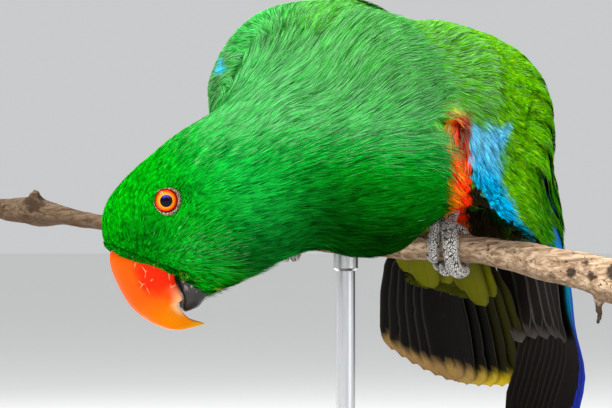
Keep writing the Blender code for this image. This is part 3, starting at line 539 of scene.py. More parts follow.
def sampleWings():  # places on both faces of both wings
    rows = []
    for wing in wings.values():
        u, v, (point, along, over, normal), (above, below) = wingGrid(wing, 60, 40)
        for lift in (above, -below):
            rows.append(np.column_stack([point + normal * lift[:, None], along, normal, u, v,
                                         np.full(len(u), wing["hand"])]))
    rows = np.concatenate(rows)
    tree = KDTree(len(rows))
    for number, row in enumerate(rows):
        tree.insert(row[:3], number)
    tree.balance()
    return tree, rows


wingTree, wingPlaces = sampleWings()


def nearWing(points):  # the nearest place on a wing to each point, and how much the point belongs to it
    found = [wingTree.find(p) for p in points]
    rows = wingPlaces[[f[1] for f in found]]
    near = {"along": rows[:, 3:6], "normal": rows[:, 6:9], "u": rows[:, 9], "v": rows[:, 10],
            "hand": rows[:, 11]}
    return near, 1.0 - ease(np.array([f[2] for f in found]), 2.0, 5.5)


# Colours of the plumage

greens = {name: paint(*tone) for name, tone in {
    "head": (2, 156, 14), "crown": (3, 154, 6), "lores": (3, 104, 8), "cheek": (20, 158, 40),
    "throat": (16, 96, 10), "neck": (18, 162, 54), "nape": (60, 164, 74), "mantle": (52, 140, 46),
    "breast": (6, 132, 18), "belly": (5, 50, 3), "rump": (62, 150, 16), "vent": (120, 150, 20),
    "fringe": (226, 120, 20), "flank": (236, 44, 10), "deepFlank": (96, 6, 6), "shade": (30, 25, 12),
    "shoulder": (72, 152, 20), "wing": (88, 166, 4), "lowWing": (34, 116, 5), "farWing": (34, 152, 50),
    "farFold": (24, 96, 10), "darkFleck": (26, 100, 4), "paleFleck": (150, 184, 16), "under": (26, 24, 22),
    "blueTop": (118, 208, 240), "blue": (0, 184, 232), "blueLow": (0, 134, 142), "blueFleck": (10, 110, 205),
    "undertail": (84, 86, 6), "bristle": (150, 180, 20),
}.items()}
# Height against X: the leading edge of the left wing, where the red flank meets the blue patch, and the
# other border of that patch
wingEdgeLine = ((-2.0, 34.0), (0.5, 31.0), (11.5, 15.0), (25.0, 6.0), (35.0, 3.6), (46.0, 1.5), (54.0, 1.0))
blueBorder = ((-2.0, 35.0), (1.1, 32.4), (2.6, 29.6), (11.8, 20.8), (25.2, 14.2), (35.0, 14.4), (46.0, 17.5))


def readLine(line, heights):
    return np.interp(heights, *np.array(line).T)


def wash(tints, **layers):  # lay colours of the plumage over each other, each with its share
    for name, share in layers.items():
        tints = toward(tints, greens[name], share)
    return tints


def plumage(points, normals):  # the colour of the feathers that grow at these points
    share, _ = alongBody(points)
    forward, up = onHead(points)
    height = points[:, 2]
    # painted shade: where the skin faces down, and low on the body, the coat takes a dark green as shade
    below = ease(-normals[:, 2], 0.15, 0.75) * (0.7 * ease(share, 0.10, 0.24) + 0.3 * ease(share, 0.3, 0.4))
    tints = wash(
        np.tile(greens["head"], (len(points), 1)),
        crown=ease(up, 2, 14),
        lores=0.9 * np.exp(-((forward - 17) ** 2 + (up - 1) ** 2) / 70.0),
        cheek=np.exp(-((forward - 14) ** 2 / 60.0 + (up + 18) ** 2 / 110.0)),
        throat=ease(-up, 24, 34) * ease(forward, 2, 12),
        neck=ease(share, 0.14, 0.28),
        nape=ease(share, 0.16, 0.34) * ease(height, 30, 48),
        mantle=ease(share, 0.34, 0.52) * ease(height, 30, 60),
        breast=ease(share, 0.26, 0.42) * ease(-height, -44, -22),
        belly=np.maximum(below, 0.9 * ease(share, 0.3, 0.5) * ease(-height, -14, -2)),
        rump=ease(share, 0.66, 0.8) * ease(height, 14, 34),
        vent=ease(share, 0.76, 0.86) * ease(-height, -30, -12))
    tints = redFlank(tints, points)
    near, onWing = nearWing(points)
    outer = 1.0 * ((np.sum(normals * near["normal"], 1) > -0.25) | (near["v"] > 0.85))
    tints = toward(tints, wingGreens(points, near["u"], near["v"], near["hand"]),
                   ease(onWing * outer, 0.35, 0.9))
    tints = wash(tints, under=onWing * (1.0 - outer) * (near["u"] > np.where(near["hand"] > 0, 0.1, 0.34)))
    away = points - tail["root"]
    below = np.maximum(ease(-(normals @ tailFrame[1]), 0.0, 0.4), ease(-(away @ tailFrame[1]), -1.0, 2.0))
    return wash(redFlank(tints, points), undertail=ease(away @ tailFrame[2], -4, 6) * below)


def redFlank(tints, points):  # the red strip between the breast and the leading edge of the left wing, with painted shade beside and under the wing's edge and in the hollow behind the left thigh
    x, y, z = points.T
    rough = 0.8 * ripple(points, 6.0, 3)
    right = readLine(wingEdgeLine, z)
    shaded = ease(x + rough, 4.0, 5.5) * ease(right - x, -0.5, 1.0) * ease(-z, -24, -16) * ease(z, -40, -30)
    shaded = np.maximum(shaded, ease(y, 24, 32) * ease(x, 4, 8) * ease(-z, -26, -18))
    zone = ease(z, 5, 9) * ease(-z + rough, -52, -47) * ease(-y, -24, -14)
    zone = zone * ease(np.minimum(right, 4.0) - x + 0.5 * rough, -0.6, 0.5)
    # painted shade: the red is darker next to the wing and under its wrist
    deep = zone * np.clip(ease(z, 36, 42) * ease(x, -3, 0) + ease(x, 3.0, 7.0), 0, 1)
    return wash(tints, shade=shaded, fringe=0.75 * zone * ease(x + rough, -6.5, -4.5),
                flank=zone * ease(x + rough, -4.0, -2.0), deepFlank=0.8 * deep)


def wingGreens(points, u, v, hand):  # the outer face of the wings, with the blue down the leading edge
    x, _, z = points.T
    fleck = ripple(points, 3.2, 7)
    inWing = ease(u, 0.08, 0.2)
    tints = wash(
        np.tile(greens["shoulder"], (len(points), 1)),
        wing=ease(u, 0.06, 0.22),
        lowWing=ease(u, 0.28, 0.46),
        farWing=(hand < 0) * (1.0 - 0.6 * ease(v, 0.5, 0.9)),
        # painted shade: a darker green in the fold where the right wing meets the neck
        farFold=0.7 * (hand < 0) * ease(-x, 76, 83) * ease(z, 30, 50),
        darkFleck=0.35 * ease(fleck, 0.05, 0.6) * inWing,
        paleFleck=0.22 * ease(-fleck, 0.1, 0.6) * inWing,
        shade=ease(readLine(wingEdgeLine, z) - x, 0.8, 2.0) * (hand > 0) * ease(-z, -30, -20))
    patch = wash(
        np.tile(greens["blueLow"], (len(points), 1)),
        blue=ease(z, 4, 16),
        # painted highlight: the top of the blue patch is paler
        blueTop=ease(z, 24, 42) * 0.7 * (hand > 0),
        blueFleck=0.5 * ease(ripple(points, 2.4, 8), 0.0, 0.6))
    rough = 0.9 * ripple(points, 5.0, 4)
    near = (ease(readLine(blueBorder, z) - x + rough, -1.0, 1.8) * ease(46.5 - z + 1.4 * rough, 0.0, 2.5)
            * ease(x - readLine(wingEdgeLine, z), -1.2, 0.2) * ease(z, -4, 1) * (v < 0.5))
    far = np.exp(-((x + 83.7) ** 2 / 4.0 + (z - 68.0) ** 2 / 9.0)) * (u < 0.25)
    return toward(tints, patch, np.where(hand > 0, near, 0.9 * ease(far, 0.3, 0.8)))


# Feathers of the coat: each one a fan of thin barbs that lies along the skin

tuft = {  # three values run from root to tip of a barb, five go over its corners
    "opening": (0.15, 0.72, 1.0), "rise": (0.0, 0.22, 0.0), "fanSpread": 0.07, "riseSpread": 0.10,
    "rounding": 0.22, "uneven": (0.84, 1.08), "stray": 0.035, "roll": 0.24, "cup": 0.22,
    "taper": (0.7, 1.0), "thickness": (0.75, 1.25),
    # shades: painted shade, dark at the root as self-shadow, and painted light, brighter at the tip
    "shades": (0.28, 0.28, 0.86, 0.86, 1.18), "streak": 0.26, "bright": (1.02, 0.17), "limits": (0.12, 1.8),
    # painted glints: some barbs are paled toward the tip with this tint
    "paleTint": (0.34, 0.62, 0.38), "paleShades": (0, 0, 0.35, 0.35, 0.75), "paleShare": 0.52,
    "mapWidth": 0.0013, "mapLength": 0.003,
}


def layTufts(name, roots, ways, normals, lengths, widths, drops, tints, spots, pale, barbs, strand, seed):
    dice = np.random.default_rng(seed)
    count = len(roots)
    sides = unit(np.cross(normals, ways))
    fan = np.linspace(-1.0, 1.0, barbs)[None] + dice.normal(0, tuft["fanSpread"], (count, barbs))
    stops = np.array([0.0, 0.5, 1.0])
    reach = lengths[:, None] * (1.0 - tuft["rounding"] * fan ** 2)
    reach = reach * dice.uniform(*tuft["uneven"], (count, barbs))
    aside = (widths[:, None] * 0.5 * fan)[..., None] * np.array(tuft["opening"])
    aside = aside + dice.normal(0, tuft["stray"], (count, barbs, 1)) * lengths[:, None, None] * stops ** 2
    rise = dice.normal(0.0, tuft["riseSpread"], (count, barbs, 1)) * stops + np.array(tuft["rise"])
    middle = (roots[:, None, None] + ways[:, None, None] * (reach[..., None] * stops)[..., None]
              + sides[:, None, None] * aside[..., None] + normals[:, None, None] * rise[..., None]
              + drops[:, None, None] * ((reach / lengths[:, None])[..., None] ** 2 * stops ** 2)[..., None])
    roll = dice.normal(0.0, tuft["roll"], (count, barbs)) + tuft["cup"] * fan
    across = sides[:, None] * np.cos(roll)[..., None] + normals[:, None] * np.sin(roll)[..., None]
    half = strand * 0.5 * np.array(tuft["taper"]) * dice.uniform(*tuft["thickness"], (count, barbs, 1))
    edge = across[:, :, None] * half[..., None]
    rims = np.stack([middle[:, :, :2] - edge, middle[:, :, :2] + edge], 3).reshape(count, barbs, 4, 3)
    points = np.concatenate([rims, middle[:, :, 2:]], 2)
    base = 5 * np.arange(count * barbs)[:, None]
    streak = dice.normal(0.0, tuft["streak"], (count, barbs, 1))
    streak = 1.0 + streak + np.roll(streak, 1, axis=1)
    # painted shade at the root and painted light at the tip, on random tones
    bright = dice.normal(*tuft["bright"], (count, 1, 1)) * streak * np.array(tuft["shades"])
    colours = tints[:, None, None] * np.clip(bright, *tuft["limits"])[..., None]
    # painted glints: barbs chosen by pale get the pale tint toward their tips
    lit = (dice.random((count, barbs, 1)) < pale[:, None, None]) * np.array(tuft["paleShades"])
    colours = toward(colours, tuft["paleTint"], lit * tuft["paleShare"])
    patch = np.stack(np.broadcast_arrays(
        spots[:, None, None, 0] + tuft["mapWidth"] * fan[..., None],
        spots[:, None, None, 1] + tuft["mapLength"] * np.array([0.0, 0.0, 0.5, 0.5, 1.0])), -1)
    mesh = buildMesh(name, points.reshape(-1, 3), base + (0, 2, 3, 1), base + (2, 4, 3),
                     colours.reshape(-1, 3), patch.reshape(-1, 2))
    showPiece(name, mesh, featherLook)


def nearer(first, second, limit):  # the limit is a squared distance
    away = first - second
    return away[0] * away[0] + away[1] * away[1] + away[2] * away[2] < limit


def scatter(points, normals, triangles, spacing, keep, seed, closeness=0.74, cell=2.0, excess=2.6):
    # roots spread evenly over a surface: spacing and keep are functions of points and normals
    dice = np.random.default_rng(seed)
    corners = points[triangles]
    middles = corners.mean(axis=1)
    face = np.cross(corners[:, 1] - corners[:, 0], corners[:, 2] - corners[:, 0])
    gap = spacing(middles)
    wanted = 0.5 * np.linalg.norm(face, axis=1) / gap ** 2 * keep(middles, unit(face))
    tries = int(wanted.sum() * excess)
    chosen = np.sort(dice.choice(len(triangles), tries, p=wanted / wanted.sum()))
    a, b = dice.random((2, tries))
    swap = a + b > 1
    a[swap], b[swap] = 1 - a[swap], 1 - b[swap]
    shares = np.stack([1 - a - b, a, b], 1)
    spots = np.einsum("nk,nkd->nd", shares, corners[chosen])
    facing = unit(np.einsum("nk,nkd->nd", shares, normals[triangles[chosen]]))
    limits = (closeness * gap[chosen]) ** 2
    keys = np.floor(spots / cell).astype(int)
    steps = list(itertools.product((-1, 0, 1), repeat=3))
    taken = {}
    kept = []
    for n in dice.permutation(tries):
        i, j, k = keys[n]
        around = (taken.get((i + di, j + dj, k + dk), ()) for di, dj, dk in steps)
        if not any(nearer(spots[n], spots[m], limits[n]) for group in around for m in group):
            taken.setdefault((i, j, k), []).append(n)
            kept.append(n)
    return spots[kept], facing[kept]


def hug(tree, roots, ways, lengths, lifts):  # how far each tip is bent down to lie on the skin
    drops = np.empty_like(roots)
    for n in range(len(roots)):
        tip = roots[n] + ways[n] * lengths[n]
        spot, facing, _, _ = tree.find_nearest(tip)
        drops[n] = np.array(spot) + np.array(facing) * lifts[n] - tip
    limit = 0.75 * lengths[:, None]
    size = np.linalg.norm(drops, axis=1, keepdims=True)
    return drops * np.minimum(1.0, limit / np.maximum(size, 1e-6))


coat = {  # share of the way along the body, against mm
    "length": ((0.0, 2.6), (0.08, 3.2), (0.16, 5.0), (0.30, 8.0), (0.45, 10.5), (0.7, 12.5), (1.0, 13.0)),
    "width": ((0.0, 1.7), (0.10, 2.3), (0.25, 3.4), (0.45, 4.6), (1.0, 5.2)),
    "spacing": ((0.0, 0.95), (0.12, 1.15), (0.25, 1.50), (0.45, 1.9), (1.0, 2.2)),
    "depth": ((0.0, 0.6), (0.10, 1.0), (0.25, 1.7), (0.45, 2.2), (1.0, 2.4)),
    "lift": ((0.0, 0.25), (0.10, 0.5), (0.25, 1.0), (0.45, 1.4), (1.0, 1.7)),
}
wingCoat = {"length": 7.0, "width": 3.6, "spacing": 1.75, "depth": 0.9, "lift": 0.8}
legs = (((4, 8, 33), (1.5, 3, 12)), ((-48, 24, 33), (-62, 29.5, 14)))      # knees and ankles
eye = {
    "depth": 14.6, "radius": 5.6, "iris": 4.25, "pupil": 2.3,
    # the bare ring: distance from the gaze line and height above the eye's centre
    "ring": ((4.20, 3.65), (4.35, 4.25), (4.65, 4.65), (5.1, 4.75), (5.7, 4.35), (6.2, 3.7), (6.8, 2.2)),
}


def eyePlace(side):  # centre of an eye and the way that it looks
    gaze = unit(0.03 * headForward + 0.155 * headUp + side * headLeft)
    return headPoint(0.0, 0.0, side * eye["depth"]), gaze


def eyeGap(points):  # distance from the middle of the nearer bare ring, across the gaze
    gaps = []
    for side in (1.0, -1.0):
        centre, gaze = eyePlace(side)
        away = points - centre + headUp * 1.1 - headForward * 0.3
        across = away - np.outer(away @ gaze, gaze)
        gaps.append(np.where(away @ gaze > 0, np.linalg.norm(across, axis=1), 99.0))
    return np.minimum(*gaps)


def tuftTraits(points):
    share, ways = alongBody(points)
    traits = {key: ramp(share, coat[key]) for key in coat}
    forward, up = onHead(points)
    around = np.minimum(np.hypot(forward, up), 30.0)
    small = 0.55 + 0.45 * ease(around, 5.5, 12.0)          # shorter feathers round the eye
    small = np.minimum(small, 0.55 + 0.45 * ease(billBase - forward, -1.0, 7.0))
    for key, power in (("length", 1.0), ("width", 0.7), ("spacing", 0.6)):
        traits[key] = np.where(share < 0.2, traits[key] * small ** power, traits[key])
    near, onWing = nearWing(points)
    for key in traits:
        traits[key] = traits[key] + (wingCoat[key] - traits[key]) * onWing
    edge = onWing * ease(0.14 - near["v"], 0.0, 0.06) * (near["u"] > 0.1)      # finer at the leading edge
    traits["width"] = traits["width"] * (1.0 - 0.5 * edge)
    traits["length"] = traits["length"] * (1.0 - 0.35 * edge)
    return share, ways, traits


def lieOfCoat(points, normals, share, ways):
    nose = headPoint(billBase + 4.0, -5.0)
    low = ease(-points[:, 2], -62, -20)
    nearBill = 1.0 - ease(np.linalg.norm(points - nose, axis=1), 22.0, 60.0)
    lie = ways * (1.0 - nearBill[:, None]) + unit(points - nose) * nearBill[:, None]
    lie = lie + np.array([0.10, 0.0, -0.42]) * (ease(share, 0.28, 0.5) * low)[:, None]
    for leg in legs:
        knee, ankle = np.array(leg, float)
        along = np.clip((points - knee) @ (ankle - knee) / np.sum((ankle - knee) ** 2), 0, 1)
        gap = np.linalg.norm(points - (knee + along[:, None] * (ankle - knee)), axis=1)
        pull = 2.5 * ease(-gap, -15, -9) * ease(-points[:, 2], -30, -20)
        lie = lie + unit(ankle - knee) * pull[:, None]
    near, onWing = nearWing(points)
    lie = unit(lie) * (1.0 - onWing[:, None]) + near["along"] * onWing[:, None]
    sway = ripple(points, 16.0, 9)[:, None] * 0.16
    return flatten(lie + np.cross(normals, unit(lie)) * sway, normals)


# Tail

tail = {
    "root": (-8.0, 61.0, 21.0), "slope": (0.13, 0.74, -0.66), "left": (0.93, -0.32, -0.25),
    "length": 119.0, "feathers": 12, "width": 16.5, "spread": 1.75, "step": 2.6, "buried": 36.0,
    # the closed form in it: distance from the root, half width and thickness
    "core": ((4.0, 11.0, 8.0), (20.0, 13.0, 6.5), (36.0, 14.5, 4.2), (50.0, 15.0, 2.2), (57.0, 14.5, 0.8)),
}
tailFrame = frameAlong(tail["slope"], tail["left"]) * np.array([[1], [-1], [1]])  # up is the bird's back


def tailWedge(sides=16):
    left, up, along = tailFrame
    turn = np.linspace(0, 2 * math.pi, sides, endpoint=False)
    rings = [np.array(tail["root"]) + along * reach + np.outer(np.cos(turn), left) * half
             + np.outer(np.sin(turn), up) * thick / 2 for reach, half, thick in tail["core"]]
    return closedTube(rings)


# The skin: the solids of the body in one surface, sunk by the depth of the feathers

bodyNodes = ("head", "neck", "torso", "thigh_left", "thigh_right")
crease = {  # where the back runs on over the right shoulder: X and Z of a line, and the smoothing round it
    "line": ((-49.0, 84.0), (-59.0, 78.0), (-66.0, 66.0), (-75.0, 58.0), (-82.0, 51.0)),
    "reach": 14.0, "core": 0.35, "rounds": 260, "pull": 0.9,
}


def makeSkin():
    headFrame = frameAlong(headForward, headLeft)
    fillers = [tailWedge(), ovalLump((-7.0, 60.0, 21.0), (17.0, 9.0, 22.0), tailFrame),
               *[ovalLump(eyePlace(side)[0], (5.2, 5.2, 5.2)) for side in (1.0, -1.0)],
               *[wingCore(wing) for wing in wings.values()],
               # fills the hollow behind the left thigh, under the wing; its coat is painted dark as shade
               ovalLump((13.0, 34.0, 11.0), (12.0, 20.0, 16.5)),
               ovalLump(headPoint(21.0, -24.5), (9.6, 9.5, 8.4), headFrame),
               ovalLump(headPoint(20.0, -3.2), (12.4, 14.0, 8.5), headFrame)]
    mesh = meltedCopy("bodySkin", bodyNodes, 1.4, 8, fillers, 8.0)
    fillCrease(mesh)
    points, normals, _ = readMesh(mesh)
    share, _, traits = tuftTraits(points)
    points = points - normals * traits["depth"][:, None]
    forward, up = onHead(points)
    inward = headPoint(forward, np.full(len(points), -5.0)) - points  # narrower round the base of the bill
    narrow = 1.1 * ease(forward, 18.5, 23.0) * ease(up, -20, -16) * ease(8.0 - up, 0.0, 5.0)
    points = points + unit(inward) * narrow[:, None]
    x, _, z = points.T
    brow = 2.3 * np.exp(-((z - 15.0) / 10.0) ** 2) * ease(-x, 108.0, 124.0) * ease(up, 0, 6)
    crown = 0.9 * ease(up, 6.0, 14.0) * ease(-share, -0.2, -0.12)
    points = shapeLids(points + normals * (brow + crown)[:, None])
    movePoints(mesh, points)
    setTints(mesh, plumage(points, normals) * (0.75 - 0.30 * ease(share, 0.1, 0.3))[:, None])
    return mesh


def fillCrease(mesh):
    points, _, _ = readMesh(mesh)
    count = len(points)
    ends = np.empty(len(mesh.edges) * 2, np.int32)
    mesh.edges.foreach_get("vertices", ends)
    first, second = ends.reshape(-1, 2).T
    here, there = np.concatenate([first, second]), np.concatenate([second, first])
    line = through([(x, 0.0, z) for x, z in crease["line"]], np.linspace(0, 1, 30))
    gaps = np.hypot(points[:, None, 0] - line[None, :, 0], points[:, None, 2] - line[None, :, 2]).min(axis=1)
    share = (1.0 - ease(gaps, crease["core"] * crease["reach"], crease["reach"])) \
        * ease(-points[:, 1], -34.0, -24.0)
    degree = np.maximum(np.bincount(here, minlength=count), 1)
    for _ in range(crease["rounds"]):
        mean = np.stack([np.bincount(here, points[there, k], count) for k in range(3)], 1) / degree[:, None]
        points = points + (mean - points) * share[:, None] * crease["pull"]
    movePoints(mesh, points)


def shapeLids(points):  # the skin meets the bare rings lower toward the throat, higher toward the crown
    for side in (1.0, -1.0):
        centre, gaze = eyePlace(side)
        away = points - centre
        height = away @ gaze
        across = away - np.outer(height, gaze)
        far = np.linalg.norm(across, axis=1)
        close = ease(10.0 - far, 0.0, 4.0) * (height > 0.5)
        top = 3.3 + 0.8 * ease(far, 4.8, 5.6) - 0.25 * np.maximum(0.0, far - 5.5)
        low = 4.0 - 0.75 * np.maximum(0.0, far - 4.4)
        level = np.where((far > 3.0) & (across @ headUp > 0), np.maximum(height, low), height)
        level = np.minimum(level, top + np.maximum(0.0, far - 6.0) * 0.9)
        points = points + np.outer((level - height) * close, gaze)
    return points


print("making the skin")
skinMesh = makeSkin()


featherLook = Look("softFeathers", {"Roughness": 0.7, "Specular IOR Level": 0.0})
fleck = featherLook.noise(1.1, 2.0)
featherLook.finish({"Base Color": featherLook.mix(
    0.30, featherLook.tint(), featherLook.mix(fleck, (0.25, 0.25, 0.25, 1), (0.8, 0.8, 0.8, 1)), "OVERLAY")})
skinLook = Look("downySkin", {"Roughness": 0.8, "Specular IOR Level": 0.02})
skinLook.finish({"Base Color": skinLook.mix(skinLook.noise(1.2) * 0.35, skinLook.tint(), rgba(3, 26, 5)),
                 "Normal": skinLook.bump(skinLook.noise(0.9), 0.3)})


def fringeTheBill(points, normals, triangles):  # bristly feathers that hang over the base of the bill
    def keep(spots, facing):
        forward, up = onHead(spots)
        side = facing @ headForward < np.where(up < -16, 0.96, 0.86)
        return 1.0 * ((forward > billBase - 2.5) & (up > -36) & (up < 13) & side)

    roots, facing = scatter(points, normals, triangles, lambda spots: np.full(len(spots), 0.75), keep, 61)
    _, up = onHead(roots)
    dice = np.random.default_rng(62)
    low = ease(-up, 2.0, 16.0)
    way = (headForward * (1.0 - 0.45 * low)[:, None] - headUp * (0.30 + 0.55 * low)[:, None]
           + dice.normal(0.0, 0.16, roots.shape))
    lengths = (2.6 + 3.4 * low + 3.2 * ease(-up, 17.0, 24.0)) * dice.uniform(0.7, 1.25, len(roots))
    tints = plumage(roots, facing) * (0.75 - 0.45 * low * dice.random(len(roots)))[:, None]
    tints = toward(tints, greens["lores"] * 0.2, 0.9 * low * (dice.random(len(roots)) < 0.45))
    tints = toward(tints, greens["bristle"], 0.7 * low * (dice.random(len(roots)) < 0.12))
    layTufts("billFringe", roots + facing * 0.7, flatten(way, facing), facing, lengths, 1.6 + 0 * up,
             facing * -(0.5 + 0.12 * lengths)[:, None], tints, bakeSpots(roots), 0.02 + 0 * up, 9, 0.17, 63)


# Where the bill's edge runs on the head: up and forward
billEdge = ((-20.0, 25.8), (-15.7, 25.2), (-12.7, 24.6), (-8.2, 23.9), (-2.4, 23.5), (2.2, 23.4), (9.3, 25.4))


def bareSkin(spots, facing):  # places where no feather of the coat grows
    forward, up = onHead(spots)
    bare = eyeGap(spots) <= 5.0
    bare |= (forward > readLine(billEdge, up)) & (up < 12.0) & (up > -15.5)
    bare |= (forward > billBase - 2.4) & (facing @ headForward > 0.82) & (up > -31)
    near, onWing = nearWing(spots)
    inner = np.sum(facing * near["normal"], 1) < -0.25
    along = near["u"] - np.where(near["hand"] > 0, 0.16, 0.36)
    bare |= (onWing > 0.5) & ((inner & (along > 0) & (near["v"] > 0.4)) | (inner & (along > 0.06))
                              | (near["u"] > 0.42))
    return bare | ((spots - tail["root"]) @ tailFrame[2] >= 26.0)


def featherTheBody(barbs=13, triangleLimit=190000):
    points, normals, triangles = readMesh(skinMesh)
    roots, facing = scatter(points, normals, triangles, lambda spots: tuftTraits(spots)[2]["spacing"],
                            lambda spots, facing: 1.0 * ~bareSkin(spots, facing), 21)
    x, _, z = roots.T
    share, ways, traits = tuftTraits(roots)
    lie = lieOfCoat(roots, facing, share, ways)
    lengths = traits["length"] * np.random.default_rng(5).uniform(0.85, 1.15, len(roots))
    for _ in range(3):                                        # no feather reaches over an eye
        lengths = np.where(eyeGap(roots + lie * lengths[:, None]) < 4.7, lengths * 0.6, lengths)
    lengths = lengths * (1.0 - 0.4 * ease(x, -5, 2) * ease(-z, -30, -20) * ease(z, -5, 5))
    forward, up = onHead(roots)
    chin = ease(forward, 9, 19) * ease(-up, 15, 21)
    lengths = lengths * (1.0 + 1.1 * chin)
    drops = hug(surfaceTree(points, triangles), roots, lie, lengths, traits["lift"] * (1.0 + 2.4 * chin))
    tints = plumage(roots, facing)
    spots = bakeSpots(roots)
    # painted highlights: the share of barbs with pale glinting tips, most on the upper neck and back, none in
    # the shaded hollow behind the left thigh, some on the cheek
    pale = (0.42 * ease(share, 0.12, 0.26) * ease(z, 22, 44)
            + 0.008 * ease(share, 0.2, 0.35) * ease(-z, -40, -15) * ease(x, -40, 0))
    pale = pale * (1.0 - ease(x, 4, 8) * ease(-z, -30, -22))
    pale = pale + 0.15 * np.exp(-((forward - 12) ** 2 / 50.0 + (up + 20) ** 2 / 120.0))
    order = np.argsort(share)
    groups = np.array_split(order, math.ceil(len(order) * 3 * barbs / triangleLimit))
    for number, group in enumerate(groups):
        layTufts(f"coat{number + 1}", roots[group], lie[group], facing[group], lengths[group],
                 traits["width"][group], drops[group], tints[group], spots[group], pale[group], barbs,
                 0.19 + 0.14 * share[group].mean(), 40 + number)
    print("coat feathers:", len(roots), "in", len(groups), "pieces")
    fringeTheBill(points, normals, triangles)


featherTheBody()
showPiece("bodySkin", skinMesh, skinLook, bodyNodes)


# Flight feathers: one vane with a shaft, slightly cupped, with splits along its margin

vane = {
    "columns": 9, "cup": 0.05, "thickness": 0.22,
    "outline": ((0.0, 0.35), (0.25, 0.9), (0.5, 1.0), (0.85, 0.93), (0.95, 0.72)),   # without the tip
    "sweep": ((0.0, 0.0), (0.85, 0.1), (1.0, 0.5)),
    "splits": 0.10, "splitDepth": 0.06, "ragged": 0.012, "shades": (0.9, 1.1),
}
vaneStops = np.linspace(0.0, 1.0, 22)


def vanePart(centres, across, faces, width, tints, under, slotOnMap, seed, tipShare):
    dice = np.random.default_rng(seed)
    rows, columns = len(vaneStops), vane["columns"]
    s, x = np.meshgrid(vaneStops, np.linspace(-1.0, 1.0, columns), indexing="ij")
    outline = ramp(s, (*vane["outline"], (1.0, tipShare)))
    split = 1.0 - vane["splitDepth"] * (dice.random((rows, 2)) < vane["splits"]) \
        - vane["ragged"] * dice.random((rows, 2))
    reach = np.where(x < 0, split[:, :1], split[:, 1:]) * outline * x * width / 2
    rise = -vane["cup"] * width * x ** 2 + 0.12 * np.exp(-(x / 0.12) ** 2)
    back = 0.6 * np.abs(reach) * ramp(s, vane["sweep"])
    ways = unit(np.gradient(centres, axis=0))
    top = (centres[:, None] + across[:, None] * reach[..., None] + faces[:, None] * rise[..., None]
           - ways[:, None] * back[..., None])
    low = top - faces[:, None] * vane["thickness"]
    count = rows * columns
    rim, after = gridRim(rows, columns)
    colours = np.concatenate([side(s, x).reshape(-1, 3) for side in (tints, under)])
    facts = np.stack([s * np.linalg.norm(centres[-1] - centres[0]), reach, x], -1).reshape(-1, 3)
    left, bottom, wide, high = slotOnMap
    spots = np.stack([left + wide * (0.5 + 0.46 * x), bottom + high * (0.04 + 0.92 * s)], -1).reshape(-1, 2)
    return {"points": np.concatenate([top.reshape(-1, 3), low.reshape(-1, 3)]),
            "quads": np.concatenate([gridFaces(rows, columns), gridFaces(rows, columns, flip=True) + count,
                                     np.stack([rim, rim + count, after + count, after], 1)]),
            "tints": colours * dice.uniform(*vane["shades"]),
            "spots": np.concatenate([spots, spots + (0.5, 0.0)]), "facts": np.concatenate([facts, facts])}


def mapSlot(number, count):  # a feather's own place on the left half of the bake map
    columns = math.ceil(math.sqrt(count))
    return (0.5 * (number % columns) / columns, (number // columns) / columns, 0.5 / columns * 0.94,
            1.0 / columns * 0.94)


vaneLook = Look("flightFeathers", {"Roughness": 0.55, "Specular IOR Level": 0.01})
alongVane = vaneLook.fact(0)
acrossVane = vaneLook.fact(1)
barbs = vaneLook.curve("SINE", (alongVane - vaneLook.curve("ABSOLUTE", acrossVane) * 0.85) * 9.0)
shaft = 1.0 - vaneLook.step(vaneLook.curve("ABSOLUTE", acrossVane), 0.10, 0.30)
margin = vaneLook.step(vaneLook.curve("ABSOLUTE", vaneLook.fact(2)), 0.88, 1.0)
vaneColour = vaneLook.mix(0.12 + 0.10 * barbs, vaneLook.tint(), (0.004, 0.004, 0.004, 1.0))
vaneColour = vaneLook.mix(margin * 0.10, vaneColour, rgba(120, 112, 96))
vaneColour = vaneLook.mix(shaft * 0.22, vaneColour, rgba(44, 35, 28))
vaneLook.finish({"Base Color": vaneColour, "Normal": vaneLook.bump(barbs + 2.0 * shaft, 0.05, 0.6)})


wingTints = {name: paint(*tone) for name, tone in {
    "green": (78, 168, 12), "blue": (6, 120, 205), "violet": (36, 60, 190), "teal": (0, 150, 180),
    "dark": (26, 22, 22), "inside": (30, 25, 23), "grey": (120, 112, 104), "orange": (150, 74, 20),
}.items()}
wingRows = (  # roots and tips: first and last place along and across the wing; lift: height of the tips
    {"kind": "primary", "count": 10, "width": 13.5, "roots": ((0.34, 0.10), (0.37, 0.62)),
     "tips": ((0.995, 0.28), (0.97, 0.91)), "lift": (0.3, 0.3), "face": 1.0, "lean": 5.0, "tipShare": 0.3},
    {"kind": "lining", "count": 5, "width": 15.0, "roots": ((0.52, 0.26), (0.50, 0.88)),
     "tips": ((0.80, 0.34), (0.88, 0.97)), "lift": (1.2, 1.2), "face": -1.0, "lean": 2.0, "tipShare": 0.26},
    {"kind": "secondary", "count": 9, "width": 12.0, "roots": ((0.20, 0.28), (0.32, 0.90)),
     "tips": ((0.64, 0.36), (0.76, 0.95)), "lift": (1.2, 1.0), "face": 1.0, "lean": 9.0, "tipShare": 0.3},
)


